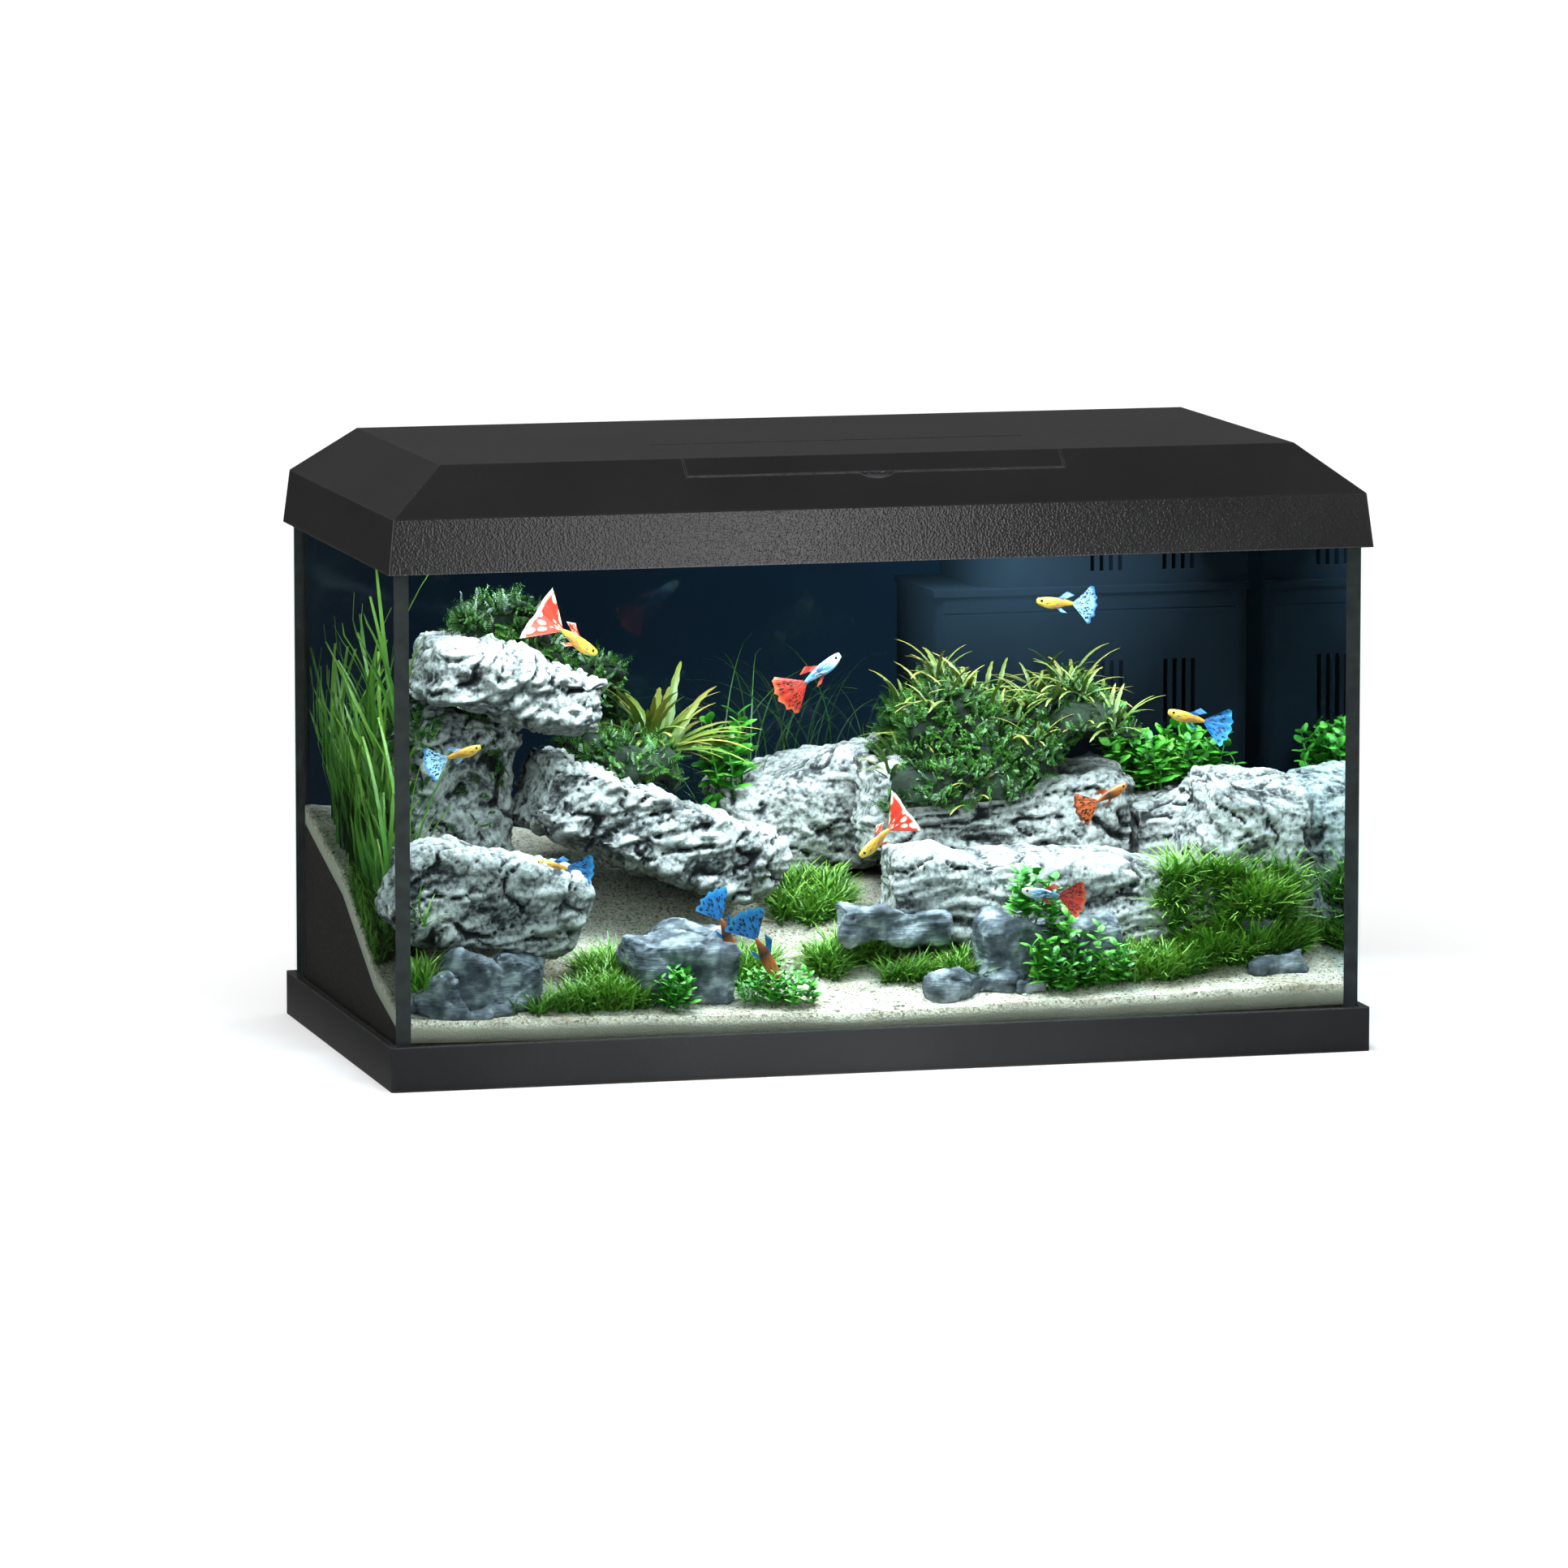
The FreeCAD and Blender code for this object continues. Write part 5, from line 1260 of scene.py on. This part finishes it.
gold_skin = fish_skin("gold_scales", "#f0c53a", "#e9a92c", "#c98a2a", "#2c4f7a")
snow_skin = fish_skin("blue_white_scales", "#e8dccb", "#5fa0c4", "#15395f", "#f4efe4")
amber_skin = fish_skin("amber_scales", "#c98444", "#b5622a", "#3c2a22", "#7a3a1c")
FINS = {
    "flame": fin_skin("flame_fin", "#d9341c", "#f6d9b8", "#f2ece0", 3.5),
    "ruby": fin_skin("ruby_fin", "#c92f1a", "#2b1612", "#e8643a", 9.0),
    "net": fin_skin("blue_net_fin", "#9fc6de", "#14202e", "#3f78b0", 8.0),
    "azure": fin_skin("azure_fin", "#2276b8", "#12243c", "#2f96d0", 7.0),
    "tiger": fin_skin("tiger_fin", "#d8612a", "#1c1412", "#7a3020", 7.0),
}
eye_black = simple("wet_eye", "#050505", "#0c0c0c", 0.15, 0.4, 0.01)

# %% [markdown]
# ## The shoal
# Eleven fish, each with the middle of its body, the way it heads, its size and its colours. They ride on
# the tank as the water does.

# %% Shoal
SHOAL = (
    # middle x, y, z in millimetres; heading x, z; size; skin, fins, forked tail, sway
    (-175, -60, 260, 37, -26, 1.10, gold_skin, "flame", True, 0.6),
    (-255, -100, 193, 30, 10, 0.86, gold_skin, "net", False, -0.8),
    (-190, -110, 125, -34, 8, 0.92, gold_skin, "azure", False, 0.9),
    (-23, -60, 228, 36, 26, 1.12, snow_skin, "ruby", False, 0.8),
    (140, -60, 269, -36, 4, 0.98, gold_skin, "net", False, -0.9),
    (218, -80, 197, -34, 10, 0.98, gold_skin, "azure", False, 1.0),
    (159, -70, 149, 30, 14, 0.90, amber_skin, "tiger", False, 0.5),
    (13, -100, 137, -30, -24, 1.02, gold_skin, "flame", True, -0.5),
    (109, -137, 101, -36, 6, 0.94, snow_skin, "ruby", False, 0.9),
    (-93, -120, 88, 16, -38, 1.10, amber_skin, "azure", False, 0.3),
    (-72, -126, 76, 20, -36, 1.12, amber_skin, "azure", False, -0.3),
)
for number, (x, y, z, right, up, size, skin, fins, forked, sway) in enumerate(SHOAL, 1):
    fish = guppy(forked, sway)
    heading = Vector((right, chance.uniform(-8, 8), up)).normalized()
    side = Vector((0, 0, 1)).cross(heading).normalized()
    top = heading.cross(side)
    turn = Matrix((heading, side, top)).transposed().to_4x4()
    centre = Matrix.Translation((0.5 * (BODY + FAN), 0, 0))
    fish.transform(Matrix.Translation(Vector((x, y, z)) * MM) @ turn @ Matrix.Scale(size, 4) @ centre)
    keep(f"guppy_{number:02d}", fish, (skin, FINS[fins], eye_black))

# %% [markdown]
# ## Water
# The water is one closed box against the glass, up to a level hidden by the hood's skirt. From outside it
# only tints what lies behind it, slightly blue. From inside, the Fresnel term turns its far faces into
# mirrors at low angles, so the end pane reflects the rockwork instead of showing the room, as it does in
# a real tank.

# %% Water
water_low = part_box("bottom_pane")[1].z + 0.5 * MM
water_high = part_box("back_pane")[1].z - 7 * MM
inside_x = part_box("right_pane")[0].x - 0.1 * MM
inside_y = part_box("back_pane")[0].y - 0.1 * MM
water = bmesh.new()
bmesh.ops.create_cube(water, size=2)
bmesh.ops.scale(water, verts=water.verts, vec=(inside_x, inside_y, (water_high - water_low) / 2))
bmesh.ops.translate(water, verts=water.verts, vec=(0, 0, (water_high + water_low) / 2))
top_face = max(water.faces, key=lambda face: face.calc_center_median().z)
bmesh.ops.subdivide_edges(water, edges=top_face.edges, cuts=40, use_grid_fill=True)
material, tree, place = start("tank_water")
ripple = add(tree, "ShaderNodeTexNoise", {"Vector": place, "Scale": 1 / (45 * MM), "Detail": 2.0})
surface = add(
    tree, "ShaderNodeBump", {"Height": ripple.outputs["Fac"], "Strength": 0.2, "Distance": 1.0 * MM}
)
angle = add(tree, "ShaderNodeFresnel", {"IOR": 1.33})
behind = add(tree, "ShaderNodeNewGeometry").outputs["Backfacing"]
mirror = add(tree, "ShaderNodeMath", {0: angle.outputs[0], 1: behind}, operation="MULTIPLY")
tint = add(tree, "ShaderNodeBsdfTransparent", {"Color": "#f1f8fb"})
gloss = add(tree, "ShaderNodeBsdfGlossy", {"Color": "#e6f2f6", "Roughness": 0.02})
seen = add(tree, "ShaderNodeMixShader", {0: mirror.outputs[0], 1: tint.outputs[0], 2: gloss.outputs[0]})
keep("water", finished(water, "water"), close(material, tree, seen), smooth=False)
print("water from", round(water_low / MM), "to", round(water_high / MM), "mm")

# %% [markdown]
# ## The tank's own light
# The lamp's board shines down through its lens. A long thin area light just under the lens does the work.
# The white inside of the hood throws part of it back from the front, so a second, softer one leans in
# from there. Both move with the hood.

# %% Tank lamp
lens_low, lens_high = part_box("led_lens")
lens = (lens_low + lens_high) / 2
LIGHTS = {
    "tank_lamp": ((lens.x, lens.y, lens_low.z - 1.5 * MM), (lens.x, lens.y - 0.001, 0), 0.48, 0.034, 2.0),
    "hood_bounce": ((0, -0.118, 0.332), (0, 0.01, 0.03), 0.54, 0.04, 3.9),
}
for name, (place, aim, width, height, power) in LIGHTS.items():
    light = soft_box(name, place, aim, width, height, power, "#f6f9ff")
    light.visible_camera = False
    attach(light, "hood")
print("lamp lit")
